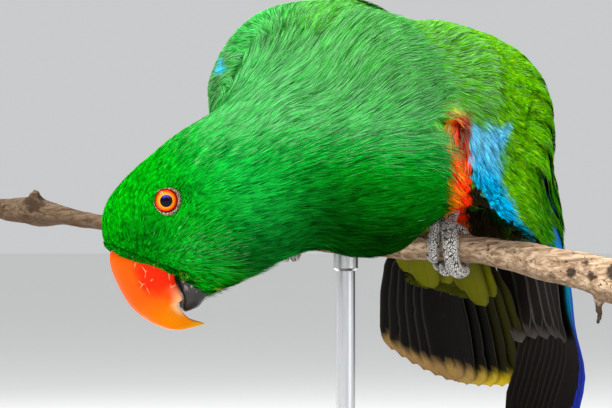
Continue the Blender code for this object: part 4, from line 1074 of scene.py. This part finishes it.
def rowTints(kind, share, hand):  # colours of the two faces of a wing feather, by kind and place in its row
    def outer(s, x):
        tint = wingTints["green"]
        if kind == "primary":
            rim = toward(wingTints["violet"], wingTints["blue"], 1 - share)
            tint = toward(wingTints["dark"], rim, ease(-x, -0.15, 0.2))
        elif kind == "lining":
            tint = wingTints["inside"]
        elif hand > 0:
            tint = toward(wingTints["dark"], wingTints["green"], ease(-x, -0.5, -0.1))
        return tint * (0.8 + 0.3 * s[..., None])

    def under(s, x):
        tint = wingTints["inside"] + np.zeros((*s.shape, 3))
        if kind == "primary" and share < 0.05:
            teal = ease(s, 0.28, 0.36) * ease(-s, -0.66, -0.52) * ease(-x, -0.35, 0.05)
            tint = toward(tint, wingTints["teal"], teal)
        if kind == "primary" and share < 0.2:
            rim = ease(-x, 0.55, 0.75) * ease(s, 0.34, 0.44) * ease(-s, -0.96, -0.86)
            tint = toward(tint, wingTints["violet"], 0.9 * rim)
        if kind == "lining":
            spot = np.exp(-((s - 0.25) ** 2 / 0.01 + (x + 0.2) ** 2 / 0.2)) * (share < 0.2)
            rim = ease(np.abs(x), 0.86, 0.98) + ease(s, 0.955, 0.995)
            tint = toward(tint, wingTints["orange"], spot)
            tint = toward(tint, wingTints["grey"], 0.5 * np.minimum(rim, 1))
        return tint

    return outer, under


def wingFeather(side, row, share, jitter, slotOnMap, seed):
    wing = wings[side]
    root, tip = (np.array(first) + (np.array(last) - first) * share
                 for first, last in (row["roots"], row["tips"]))
    tip[0] = min(tip[0] + jitter, 0.998)
    u = root[0] + (tip[0] - root[0]) * vaneStops
    v = root[1] + (tip[1] - root[1]) * vaneStops ** (1.0 + share if row["kind"] == "primary" else 1.0)
    if side == "right":
        v = v * 0.78 + 0.13 * ease(u, 0.40, 0.56)
    lift = row["lift"][0] + (row["lift"][1] - row["lift"][0]) * share
    point, _, over, normal = wingSheet(wing, u, v)
    rise = ramp(vaneStops, ((0.0, -1.0), (0.35, 0.8 * lift), (1.0, lift)))
    above, below = wingLift(wing, u, v)
    rise = above + rise if row["face"] > 0 else -below - rise
    centres = point + normal * rise[:, None]
    ways = unit(np.gradient(centres, axis=0))
    across = flatten(over, ways)
    up = flatten(normal, ways)
    lean = math.radians(row["lean"])
    return vanePart(centres, across * math.cos(lean) - up * math.sin(lean),
                    up * math.cos(lean) + across * math.sin(lean), row["width"],
                    *rowTints(row["kind"], share, wing["hand"]), slotOnMap, seed, row["tipShare"])


def makeWing(side):
    dice = np.random.default_rng(11)
    places = [(row, k / (row["count"] - 1)) for row in wingRows for k in range(row["count"])]
    parts = [wingFeather(side, row, share, dice.uniform(-0.006, 0.006), mapSlot(number, len(places)),
                         100 + number) for number, (row, share) in enumerate(places)]
    name = "wingFeathers" + side.capitalize()
    mesh = buildMesh(name, **joinParts(parts))
    showPiece(name, mesh, vaneLook, ("wing_" + side,))
    coverWing(side, mesh)


covering = {"rows": 60, "columns": 46, "start": 0.16, "reach": 0.44, "height": 14.0, "depth": 18.0,
            "wingLength": 178.0}


def coverWing(side, feathers):  # small soft feathers from the wrist down, over the roots of the long ones
    wing = wings[side]
    dice = np.random.default_rng(31)
    long, skin = readMesh(feathers), readMesh(skinMesh)
    tree = surfaceTree(np.concatenate([long[0], skin[0]]), np.concatenate([long[2], skin[2] + len(long[0])]))
    rows, columns = covering["rows"], covering["columns"]
    i, k = np.meshgrid(np.arange(rows), np.arange(columns), indexing="ij")
    u = covering["start"] + (i.ravel() + dice.random(rows * columns)) * covering["reach"] / rows
    v = (k.ravel() + dice.random(rows * columns)) / columns

    def surface(u, v):  # the outermost solid over a place on the wing
        spot, along, over, normal = wingSheet(wing, u, v)
        found = np.zeros(len(u), bool)
        for n in range(len(u)):
            start = Vector(spot[n] + normal[n] * covering["height"])
            hit = tree.ray_cast(start, Vector(-normal[n]), covering["depth"])[0]
            if hit is not None:
                spot[n] = hit
                found[n] = True
        return spot, along, over, normal, found

    ragged = 0.56 + 0.03 * np.sin(v * 40.0) + 0.02 * dice.random(len(u))
    ragged = np.where(v < 0.22, 0.47 + 0.02 * dice.random(len(u)), ragged)
    kept = (u > 0.26 - 0.10 * ease(v, 0.15, 0.3)) & (u < ragged)
    u, v = u[kept], v[kept]
    lengths = 6.0 + 2.0 * dice.random(len(u)) - 1.5 * ease(-v, -0.12, -0.02)
    roots, along, over, normal, found = surface(u, v)
    tips, _, _, tipNormal, reached = surface(np.minimum(u + lengths / covering["wingLength"], 0.99), v)
    both = found & reached
    u, v, lengths, roots, along, over, normal, tips, tipNormal = (
        a[both] for a in (u, v, lengths, roots, along, over, normal, tips, tipNormal))
    inside = ease(v, 0.10, 0.28)                             # a crisp leading edge
    lie = flatten(along + over * ((0.12 + 0.08 * dice.normal(size=len(u))) * inside)[:, None], normal)
    roots = roots + normal * 0.35
    drops = tips + tipNormal * 1.0 - (roots + lie * lengths[:, None])
    drops *= np.minimum(1.0, 0.6 * lengths / np.maximum(np.linalg.norm(drops, axis=1), 1e-6))[:, None]
    tints = wingGreens(roots, u, v, np.full(len(u), wing["hand"]))
    layTufts("wingCoat" + side.capitalize(), roots, lie, normal, lengths, 2.2 + 1.4 * inside, drops, tints,
             np.stack([0.02 + 0.94 * v, 0.02 + 1.5 * u], 1), 0.03 + 0 * u, 15, 0.30, 51)


for side in ("left", "right"):
    makeWing(side)
print("wings ready")


# Tail feathers in a fan, and the shorter feathers over and under them

tailTints = {name: paint(*tone) for name, tone in {
    "under": (9, 6, 4), "above": (24, 96, 50), "beige": (150, 118, 72), "yellow": (206, 176, 14),
    "lobe": (92, 92, 4), "covert": (40, 150, 26), "olive": (58, 54, 8),
}.items()}
# The two rounded lobes under the tail: step to the side, angle, length, width and height of each feather
tailLobes = (
    (-8.5, -3.0, 43.0, 11.0, -6.0), (1.0, 5.0, 44.0, 11.0, -6.0), (-3.5, 1.0, 48.0, 13.0, -6.8),
    (10.5, 3.0, 46.0, 9.0, -6.0), (17.5, 8.0, 46.0, 9.0, -6.0), (14.0, 6.0, 52.0, 11.0, -6.8),
    (-15.0, -9.0, 36.0, 11.0, -5.2), (6.0, 5.0, 38.0, 11.0, -4.6),
)
tailCoverts = ((4.0, 42.0, 5.0, 5.0), (-6.0, 32.0, 9.0, 7.0))      # start, length, spread and height of a row


def fanTints(share):  # the two faces of a tail feather, by its place in the fan
    # painted shade: the yellow tip band is duller and darker toward the bird's right side of the fan
    tipTint = toward(tailTints["beige"], tailTints["yellow"], ease(share, 0.45, 0.85))
    dark = toward(tailTints["under"], tailTints["olive"], 0.7 * ease(share, 0.7, 1.0))

    def above(s, x):
        return toward(tailTints["above"], tipTint, ease(s, 0.86, 0.90))

    def under(s, x):
        return toward(dark, tipTint, ease(s + 0.03 * np.sin(x * 5 + share * 9), 0.84, 0.93))

    return above, under


def green(s, x):
    return tailTints["covert"] + np.zeros((*s.shape, 3))


# painted shade: the lobes under the tail darken toward their roots and their sides
def lime(s, x):
    return tailTints["lobe"] * (0.30 + 0.75 * ease(s, 0.3, 0.8) - 0.25 * np.abs(x) ** 3)[..., None]


def fanFeather(number, angle, step, begin, length, width, heights, tilt, tints, under, seed, tipShare=0.3):
    left, up, along = tailFrame
    turn = math.radians(angle)
    way = along * math.cos(turn) + left * math.sin(turn)
    side = left * math.cos(turn) - along * math.sin(turn)
    lean = math.radians(tilt)
    rise = ramp(vaneStops, tuple(zip((0.0, 0.35, 1.0), heights)))
    centres = (np.array(tail["root"]) + along * begin + left * step + np.outer(vaneStops, way) * length
               + np.outer(rise, up))
    across = np.tile(-side * math.cos(lean) - up * math.sin(lean), (len(vaneStops), 1))
    faces = np.tile(up * math.cos(lean) - side * math.sin(lean), (len(vaneStops), 1))
    return vanePart(centres, across, faces, width, tints, under, mapSlot(number, 36), seed + number, tipShare)


def makeTail():
    parts = []
    middle = (tail["feathers"] - 1) / 2
    for k in range(tail["feathers"]):
        step = k - middle
        height = 1.2 - 0.35 * (middle - abs(step))
        left = max(step, 0.0)                                # broader at the base on the left
        length = tail["length"] - tail["buried"] - 0.25 * step ** 2
        parts.append(fanFeather(k, step * tail["spread"] - 0.86 * left, step * tail["step"] + 1.3 * left,
                                tail["buried"], length, tail["width"],
                                (height, height, height + 1.0), -math.copysign(4.0, step),
                                *fanTints(k / (tail["feathers"] - 1)), 300, 0.24))
    for begin, length, spread, height in tailCoverts:
        for step in (-1.5, -0.5, 0.5, 1.5):
            heights = (2.5, height * 0.9, height)
            parts.append(fanFeather(len(parts), step * spread, step * 2.6, begin, length, 13.0, heights,
                                    -math.copysign(5.0, step), green, green, 340))
    for step, angle, length, width, height in tailLobes:
        heights = (-3.0, height, height + 0.8)
        parts.append(fanFeather(len(parts), angle, step, 4.0, length, width, heights, 0.0, lime, lime,
                                340, 0.40))
    mesh = buildMesh("tailFeathers", **joinParts(parts))
    showPiece("tailFeathers", mesh, vaneLook, ("tail",))


makeTail()
print("tail ready")


# Bill

bill = {  # outlines in the middle plane of the head: forward and up
    "culmen": ((20.5, 6.8), (25.0, 8.4), (30.5, 5.8), (37.0, -0.6), (42.0, -7.9), (44.4, -17.5),
               (43.4, -26.0), (38.1, -34.8)),
    "tomium": ((20.5, -14.0), (23.0, -14.8), (26.5, -16.2), (31.6, -21.2), (34.3, -20.6), (36.9, -24.6),
               (38.1, -28.7), (37.9, -34.0)),
    "half": (10.3, 10.2, 9.8, 8.9, 7.4, 5.8, 3.8, 0.8),
    "ridge": ((22.0, -33.2), (24.0, -33.0), (27.6, -32.0), (33.1, -29.9), (36.3, -25.9)),
    "edge": ((22.0, -16.0), (24.0, -16.2), (27.0, -18.0), (31.4, -22.2), (35.6, -24.2)),
    "lowHalf": (7.6, 7.6, 7.2, 6.0, 3.2),
}
billSection = ((0.0, 0.0), (0.45, 0.10), (0.80, 0.34), (1.0, 0.66), (0.92, 0.95), (0.5, 1.0),
               (0.0, 0.93), (-0.5, 1.0), (-0.92, 0.95), (-1.0, 0.66), (-0.80, 0.34), (-0.45, 0.10),
               (0.0, 0.0))


def billPart(top, low, halves, rows, sides):
    steps = np.linspace(0.0, 1.0, rows)
    ridge, edge = (through([(*pair, 0.0) for pair in line], steps) for line in (top, low))
    half = through([(w, 0.0, 0.0) for w in halves], steps)[:, 0]
    section = through([(*pair, 0.0) for pair in billSection], np.linspace(0, 1, sides, endpoint=False))
    wide, down = section[:, 0], np.clip(section[:, 1], 0.0, 1.0)
    line = ridge[:, None] + (edge - ridge)[:, None] * down[None, :, None]
    points = headPoint(line[..., 0], line[..., 1], half[:, None] * wide[None]).reshape(-1, 3)
    facts = np.stack(np.broadcast_arrays(steps[:, None], down[None], wide[None]), -1).reshape(-1, 3)
    k = np.arange(sides) + (rows - 1) * sides
    cap = np.stack([np.full(sides, rows * sides), k, np.roll(k, -1)], 1)
    return {"points": np.concatenate([points, [points[-sides:].mean(axis=0)]]),
            "quads": gridFaces(rows, sides, True, flip=True), "triangles": cap,
            "facts": np.concatenate([facts, facts[-1:]])}


def makeBill():
    look = Look("orangeHorn", {"Coat Weight": 0.03, "Coat Roughness": 0.14, "Specular IOR Level": 0.03})
    along, down = look.fact(0), look.fact(1)
    wander = (look.noise(7.0, 3.0) - 0.5) * 0.30
    red = look.step(down + wander, 0.22, 0.42) * look.step(1.0 - along + wander, 0.50, 0.66)
    colour = look.mix(red, rgba(218, 78, 0), rgba(216, 34, 0))
    colour = look.mix(look.step(along + down * 0.20 + wander * 0.6, 0.46, 0.84), colour, rgba(216, 118, 2))
    colour = look.mix(look.step(along + wander * 0.4, 0.80, 0.98), colour, rgba(214, 146, 22))
    web = look.cells(4.2, look.spot((1.0, 1.0, 0.6)))
    crack = (1.0 - look.step(web, 0.0, 0.05)) * look.step(look.noise(4.5), 0.50, 0.60) * red
    colour = look.mix(crack * 0.75, colour, rgba(246, 176, 116))
    # painted highlight: a soft pale streak along the upper side of the red part
    pale = (1.0 - look.step(look.curve("ABSOLUTE", down + wander * 0.3 - 0.20), 0.0, 0.09)) * red
    colour = look.mix(pale * 0.45, colour, rgba(236, 140, 70))
    edge = look.step(down, 0.72, 0.95) * look.step(along, 0.30, 0.45) * look.step(0.75 - along, 0.0, 0.12)
    colour = look.mix(edge * 0.5, colour, rgba(255, 214, 160))
    look.finish({"Base Color": colour, "Roughness": 0.26 + 0.20 * look.noise(1.6),
                 "Normal": look.bump(look.noise(1.4, 4.0) + crack * -0.6, 0.10, 0.6)})
    upper = billPart(bill["culmen"], bill["tomium"], bill["half"], 70, 48)
    showPiece("billUpper", buildMesh("billUpper", **upper), look, ("bill_upper",))
    dark = Look("darkHorn", {"Coat Weight": 0.10, "Coat Roughness": 0.2, "Specular IOR Level": 0.25})
    tone = dark.mix(dark.noise(2.5, 4.0), rgba(15, 15, 18), rgba(52, 50, 48))
    glint = dark.step(dark.noise(2.2, 5.0, dark.spot((1.0, 1.0, 0.4))), 0.58, 0.68)
    tone = dark.mix(glint * dark.step(1.0 - dark.fact(0), 0.3, 0.7) * 0.8, tone, rgba(186, 182, 172))
    dark.finish({"Base Color": tone, "Roughness": 0.25 + 0.3 * dark.noise(1.0),
                 "Normal": dark.bump(dark.noise(0.9, 4.0), 0.1, 0.6)})
    lower = billPart(bill["ridge"], bill["edge"], bill["lowHalf"], 40, 40)
    showPiece("billLower", buildMesh("billLower", **lower), dark, ("bill_lower",))


makeBill()


# Eyes, with a bare wrinkled ring round each

def makeEye(side, node):
    centre, out = eyePlace(side)
    up = unit(headUp - out * (headUp @ out))
    axes = np.array([up, np.cross(out, up), out])
    rings, sides = 40, 48
    a, b, local = ball(rings, sides, 0.004, math.pi - 0.01)
    radius = eye["radius"] - 0.1 + 0.30 * np.exp(-(a / 0.55) ** 2)
    local = (local * radius[..., None]).reshape(-1, 3)
    span = np.hypot(local[:, 0], local[:, 1])
    facts = np.stack([np.where(local[:, 2] > 0, span, 9.0), np.cos(b).ravel(), np.sin(b).ravel()], 1)
    name = "eye" + node.split("_")[1].capitalize()
    look = Look(name, {"Roughness": 0.10, "Coat Weight": 0.04, "Coat Roughness": 0.02,
                       "Specular IOR Level": 0.06})
    far, cosine, sine = look.fact(0), look.fact(1), look.fact(2)
    circle = look.node("ShaderNodeCombineXYZ", None, {0: cosine, 1: sine, 2: far * 0.12})
    rays = look.node("ShaderNodeTexNoise", None, {"Vector": circle, "Scale": 9.0, "Detail": 3.0})
    band = look.step(far + (rays - 0.5) * 0.7, eye["pupil"], eye["iris"])
    stops = ((0.0, rgba(255, 150, 20)), (0.35, rgba(255, 112, 8)), (0.70, rgba(244, 52, 4)),
             (1.0, rgba(150, 16, 4)))
    colour = look.node("ShaderNodeValToRGB", {"stops": stops}, {0: band})
    # painted highlight: a violet-blue crescent at the top of the pupil
    glow = look.step(cosine * 0.41 - sine * 0.91, 0.50, 1.0) * look.step(far, 1.0, 1.8)
    pupil = look.mix(glow * 0.7, rgba(4, 4, 18), rgba(84, 62, 200))
    colour = look.mix(look.step(far, eye["pupil"] - 0.12, eye["pupil"] + 0.06), pupil, colour)
    colour = look.mix(look.step(far, eye["iris"] - 0.22, eye["iris"] + 0.02), colour, rgba(18, 9, 8))
    look.finish({"Base Color": colour})
    mesh = buildMesh(name, local @ axes + centre, gridFaces(rings, sides, True, flip=True), facts=facts)
    showPiece(name, mesh, look, (node,))
    makeEyeRing(centre, axes, name)


def makeEyeRing(centre, axes, name):
    rows, sides = 26, 160
    turn = np.linspace(0, 2 * math.pi, sides, endpoint=False)
    profile = through([(*pair, 0.0) for pair in eye["ring"]], np.linspace(0.0, 1.0, rows))
    inner, level = eye["ring"][0]
    s, t = np.meshgrid(np.linspace(0.0, 1.0, rows), turn, indexing="ij")
    lower = ease(-np.cos(t), -0.5, 0.7)              # broad on the side of the throat, a thin rim above
    radius = inner + (profile[:, :1] - inner) * (0.18 + 0.62 * lower) * (1.0 + 0.03 * np.sin(3 * t + 1.0))
    folds = 0.09 * np.sin(26 * t + 3.0 * np.sin(2 * t)) * np.sin(math.pi * s) + 0.06 * np.sin(s * 16.0)
    height = level + (profile[:, 1:2] - level) * (0.35 + 0.65 * lower) + folds * (0.3 + 0.7 * lower)
    local = np.stack([radius * np.cos(t), radius * np.sin(t), height], -1).reshape(-1, 3)
    facts = np.stack([s, np.cos(t), np.sin(t)], -1).reshape(-1, 3)
    quads = gridFaces(rows, sides, True, flip=True)
    mesh = buildMesh(name + "Ring", local @ axes + centre, quads, facts=facts)
    look = Look("bareSkin" + name, {"Roughness": 0.6, "Specular IOR Level": 0.25})
    colour = look.mix(look.noise(0.7), rgba(206, 186, 150), rgba(150, 128, 100))
    colour = look.mix(1.0 - look.step(look.cells(0.8), 0.05, 0.20), colour, rgba(58, 40, 30))
    colour = look.mix(1.0 - look.step(look.fact(0), 0.12, 0.30), colour, rgba(20, 10, 9))
    colour = look.mix(look.step(look.fact(0), 0.78, 0.98), colour, rgba(10, 40, 12))
    look.finish({"Base Color": colour, "Normal": look.bump(look.noise(0.35), 0.08)})
    showPiece(name + "Ring", mesh, look)


makeEye(1.0, "eye_left")
makeEye(-1.0, "eye_right")
print("head ready")


# Feet: smooth copies of the solid feet under rows of scales, with claws of horn

# The middle of the branch: X, how far Y and Z lie off its slope, and radius
branchSlope = -0.466
branchLine = ((-92.0, 1.0, 4.4, 3.2), (-50.0, 0.0, 0.2, 2.9), (-35.0, -0.5, -0.3, 3.1),
              (-19.0, 0.0, -0.6, 4.2), (-9.0, 0.0, 0.0, 5.2), (1.0, 0.0, 0.0, 5.9), (9.0, 0.0, -1.2, 5.5),
              (20.0, 0.5, -3.2, 6.2))
feet = {
    "places": {"left": (-1.5, 1.0), "right": (-66.0, -1.0)},      # X on the branch, and hand
    # step along the branch, angle where the claw starts and its turn
    "claws": ((-7.2, 150.0, 42.0), (-0.8, 165.0, 40.0), (6.2, -205.0, -50.0), (-3.6, -115.0, -40.0)),
    # the hind toe along the top of the branch: step along, angle from the top to the back, size
    "hindToe": ((-0.6, 0.0, 2.5), (2.2, 4.0, 2.3), (4.6, 12.0, 2.1), (6.6, 26.0, 2.0), (7.9, 46.0, 1.9),
                (8.5, 68.0, 1.8)),
}


def branchAt(x):
    xs, *rows = np.array(branchLine).T
    aside, height, radius = (np.interp(x, xs, row) for row in rows)
    return np.array([x, branchSlope * x + aside, height]), radius


def toeLumps(middle, hand):
    lumps = []
    for step, angle, size in feet["hindToe"]:
        centre, radius = branchAt(middle + hand * step)
        way = np.array([0.0, math.sin(math.radians(angle)), math.cos(math.radians(angle))])
        lumps.append(ovalLump(centre + (radius + 0.75 * size) * way, (size, size, size)))
    return lumps


def closeToes(x):  # the two front toes lie side by side
    return 0.9 * ease(-x, 5.0, 7.0) - 2.3 * ease(x, -4.6, -2.2)


def clawPart(middle, hand, step, start, turn, rows=16, sides=14):
    centre, _ = branchAt(middle)
    axis = unit(branchAt(middle + 5.0)[0] - branchAt(middle - 5.0)[0])
    up = unit(np.array([0.0, 0.0, 1.0]) - axis * axis[2])
    front = np.cross(up, axis)
    here = centre + axis * hand * (step + closeToes(np.array(step)))
    ring = np.linspace(0, 2 * math.pi, sides, endpoint=False)
    rings = []
    for s in np.linspace(0.0, 1.0, rows):
        angle = math.radians(start + turn * s * 1.03 - math.copysign(6.0, turn))
        thick = 1.95 * (1 - s) ** 0.7 + 0.12
        away = branchAt(here[0])[1] + 0.6 + max(thick - 0.1, 2.2 * (1 - s) + 0.5)
        out = math.cos(angle) * up + math.sin(angle) * front
        rings.append(here + out * away + np.outer(np.cos(ring), axis) * thick * 0.9
                     + np.outer(np.sin(ring), out) * thick)
    return closedTube(rings, turn < 0)


def makeFeet():
    look = Look("scalySkin", {"Roughness": 0.6, "Specular IOR Level": 0.25})
    where = look.spot()
    wander = look.node("ShaderNodeTexNoise", None, {"Vector": where, "Scale": 700.0}, 1)
    wander = look.node("ShaderNodeVectorMath", {"operation": "SCALE"}, {0: wander, "Scale": 0.0006})
    net = look.cells(1.5, look.node("ShaderNodeVectorMath", {"operation": "ADD"}, {0: where, 1: wander}))
    plates = look.step(net, 0.02, 0.14)
    tone = look.mix(look.step(look.noise(2.4), 0.40, 0.60), rgba(66, 64, 64), rgba(146, 142, 137))
    pale = look.step(net, 0.05, 0.12) * look.step(0.30 - net, 0.0, 0.12)     # the raised rims of the scales
    tone = look.mix(pale * 0.80, tone, rgba(222, 217, 210))
    colour = look.mix(plates, rgba(40, 38, 38), tone)
    colour = look.mix(look.step(look.noise(5.0), 0.55, 0.75) * 0.30, colour, rgba(60, 58, 58))
    look.finish({"Base Color": colour, "Normal": look.bump(plates, 0.30, 0.9)})
    horn = Look("clawHorn", {"Specular IOR Level": 0.5})
    horn.finish({"Base Color": horn.mix(horn.noise(2.0, 3.0), rgba(46, 44, 46), rgba(150, 146, 144)),
                 "Roughness": 0.25 + 0.2 * horn.noise(1.0)})
    parts = []
    for side, (middle, hand) in feet["places"].items():
        name = "foot" + side.capitalize()
        mesh = meltedCopy(name, ("foot_" + side,), 0.42, 8, toeLumps(middle, hand))
        points, _, _ = readMesh(mesh)
        inward = hand * closeToes(hand * (points[:, 0] - middle))
        movePoints(mesh, points + np.outer(inward, (1.0, branchSlope, 0.0)))
        showPiece(name, mesh, look, ("foot_" + side,))
        parts += [clawPart(middle, hand, *claw) for claw in feet["claws"]]
    showPiece("claws", buildMesh("claws", **joinParts(parts)), horn)


makeFeet()


# The branch and the stand

barkPatches = (((45.0, -29.0, -3.5), 3.5), ((40.0, -27.0, -9.0), 3.0), ((47.0, -31.0, -10.0), 3.0),
               ((56.0, -34.0, -8.0), 5.0), ((66.0, -32.0, -17.0), 4.0), ((50.0, -26.0, -24.0), 6.0),
               ((-160.0, 74.0, 16.0), 7.0), ((-172.0, 80.0, 14.0), 5.0))


def makeBranch():
    mesh = meltedCopy("barkedBranch", ("perch",), 0.9, 8)
    points, normals, _ = readMesh(mesh)
    axis = unit((1.0, branchSlope, -0.12))
    slim = points - np.outer(points @ axis, axis) * 0.82            # long grooves
    relief = (0.32 * ripple(slim, 4.0, 1, 12) + 0.26 * ripple(slim, 1.8, 2, 12)
              + 0.25 * ripple(points, 9.0, 3, 9))
    movePoints(mesh, points + normals * (relief - 0.35)[:, None])
    dark = np.zeros(len(points))      # dark patches near the cut end, the knots and the thin far end
    for spot, size in barkPatches:
        dark = np.maximum(dark, np.exp(-np.sum((points - spot) ** 2, 1) / size ** 2))
    # painted shade: the facts carry darker bark where it faces down, and toward the end beyond the right foot
    below = ease(-normals[:, 2], 0.1, 0.8)
    setFacts(mesh, np.stack([dark, below, ease(-points[:, 0], 60, 110)], 1))
    look = Look("bark", {"Roughness": 0.88, "Specular IOR Level": 0.12})
    grain = look.spot((0.22, 1.0, 1.0), (0.0, 0.0, 0.436))
    fibres = look.step(look.noise(1.5, 6.0, grain, 0.5), 0.32, 0.68)
    colour = look.mix(fibres, rgba(140, 110, 84), rgba(198, 172, 142))
    colour = look.mix(look.step(look.noise(14.0, 4.0), 0.54, 0.68) * 0.30, colour, rgba(110, 86, 66))
    streak = look.step(look.noise(2.0, 4.0, grain, 0.8), 0.60, 0.68)
    colour = look.mix(streak * 0.60, colour, rgba(70, 52, 38))
    speck = look.step(look.noise(1.4, 2.0), 0.63, 0.70)
    colour = look.mix(speck * 0.8, colour, rgba(30, 22, 18))
    patch = look.fact(0) + (look.noise(3.0, 4.0) - 0.5) * 1.1
    colour = look.mix(look.step(patch, 0.45, 0.75) * 0.88, colour, rgba(20, 14, 12))
    # painted shade: darker under the branch and toward the end beyond the right foot
    colour = look.mix(look.fact(1) * 0.5, colour, rgba(60, 42, 30))
    colour = look.mix(look.fact(2) * 0.80, colour, rgba(58, 42, 28))
    look.finish({"Base Color": colour, "Normal": look.bump(fibres - streak * 0.6, 0.5, 0.8)})
    showPiece("barkedBranch", mesh, look, ("perch",))


def finishStand():
    board = Look("stainedBoard", {"Roughness": 0.4, "Coat Weight": 0.3, "Coat Roughness": 0.15})
    rings = board.node("ShaderNodeTexWave", {"wave_type": "BANDS", "bands_direction": "Y"},
                       {"Vector": board.spot((0.3, 1.0, 1.0)), "Scale": 60.0, "Distortion": 5.0,
                        "Detail": 3.0, "Detail Scale": 1.5})
    colour = board.mix(rings, rgba(40, 27, 20), rgba(64, 43, 31))
    board.finish({"Base Color": board.mix(board.noise(30.0) * 0.4, colour, rgba(24, 16, 12)),
                  "Normal": board.bump(rings, 0.05, 0.4)})
    steel = Look("brushedSteel", {"Metallic": 1.0, "Roughness": 0.3})
    lines = steel.noise(0.6, 2.0, steel.spot((1.0, 1.0, 0.02)))
    steel.finish({"Base Color": steel.mix(lines, rgba(176, 178, 180), rgba(206, 208, 210)),
                  "Roughness": 0.24 + 0.14 * lines, "Normal": steel.bump(lines, 0.02, 0.3)})
    for node, look in (("stand_base", board), ("stand_rod", steel)):
        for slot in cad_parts[node].material_slots:
            slot.material = look.material


makeBranch()
finishStand()
print("branch and stand ready")
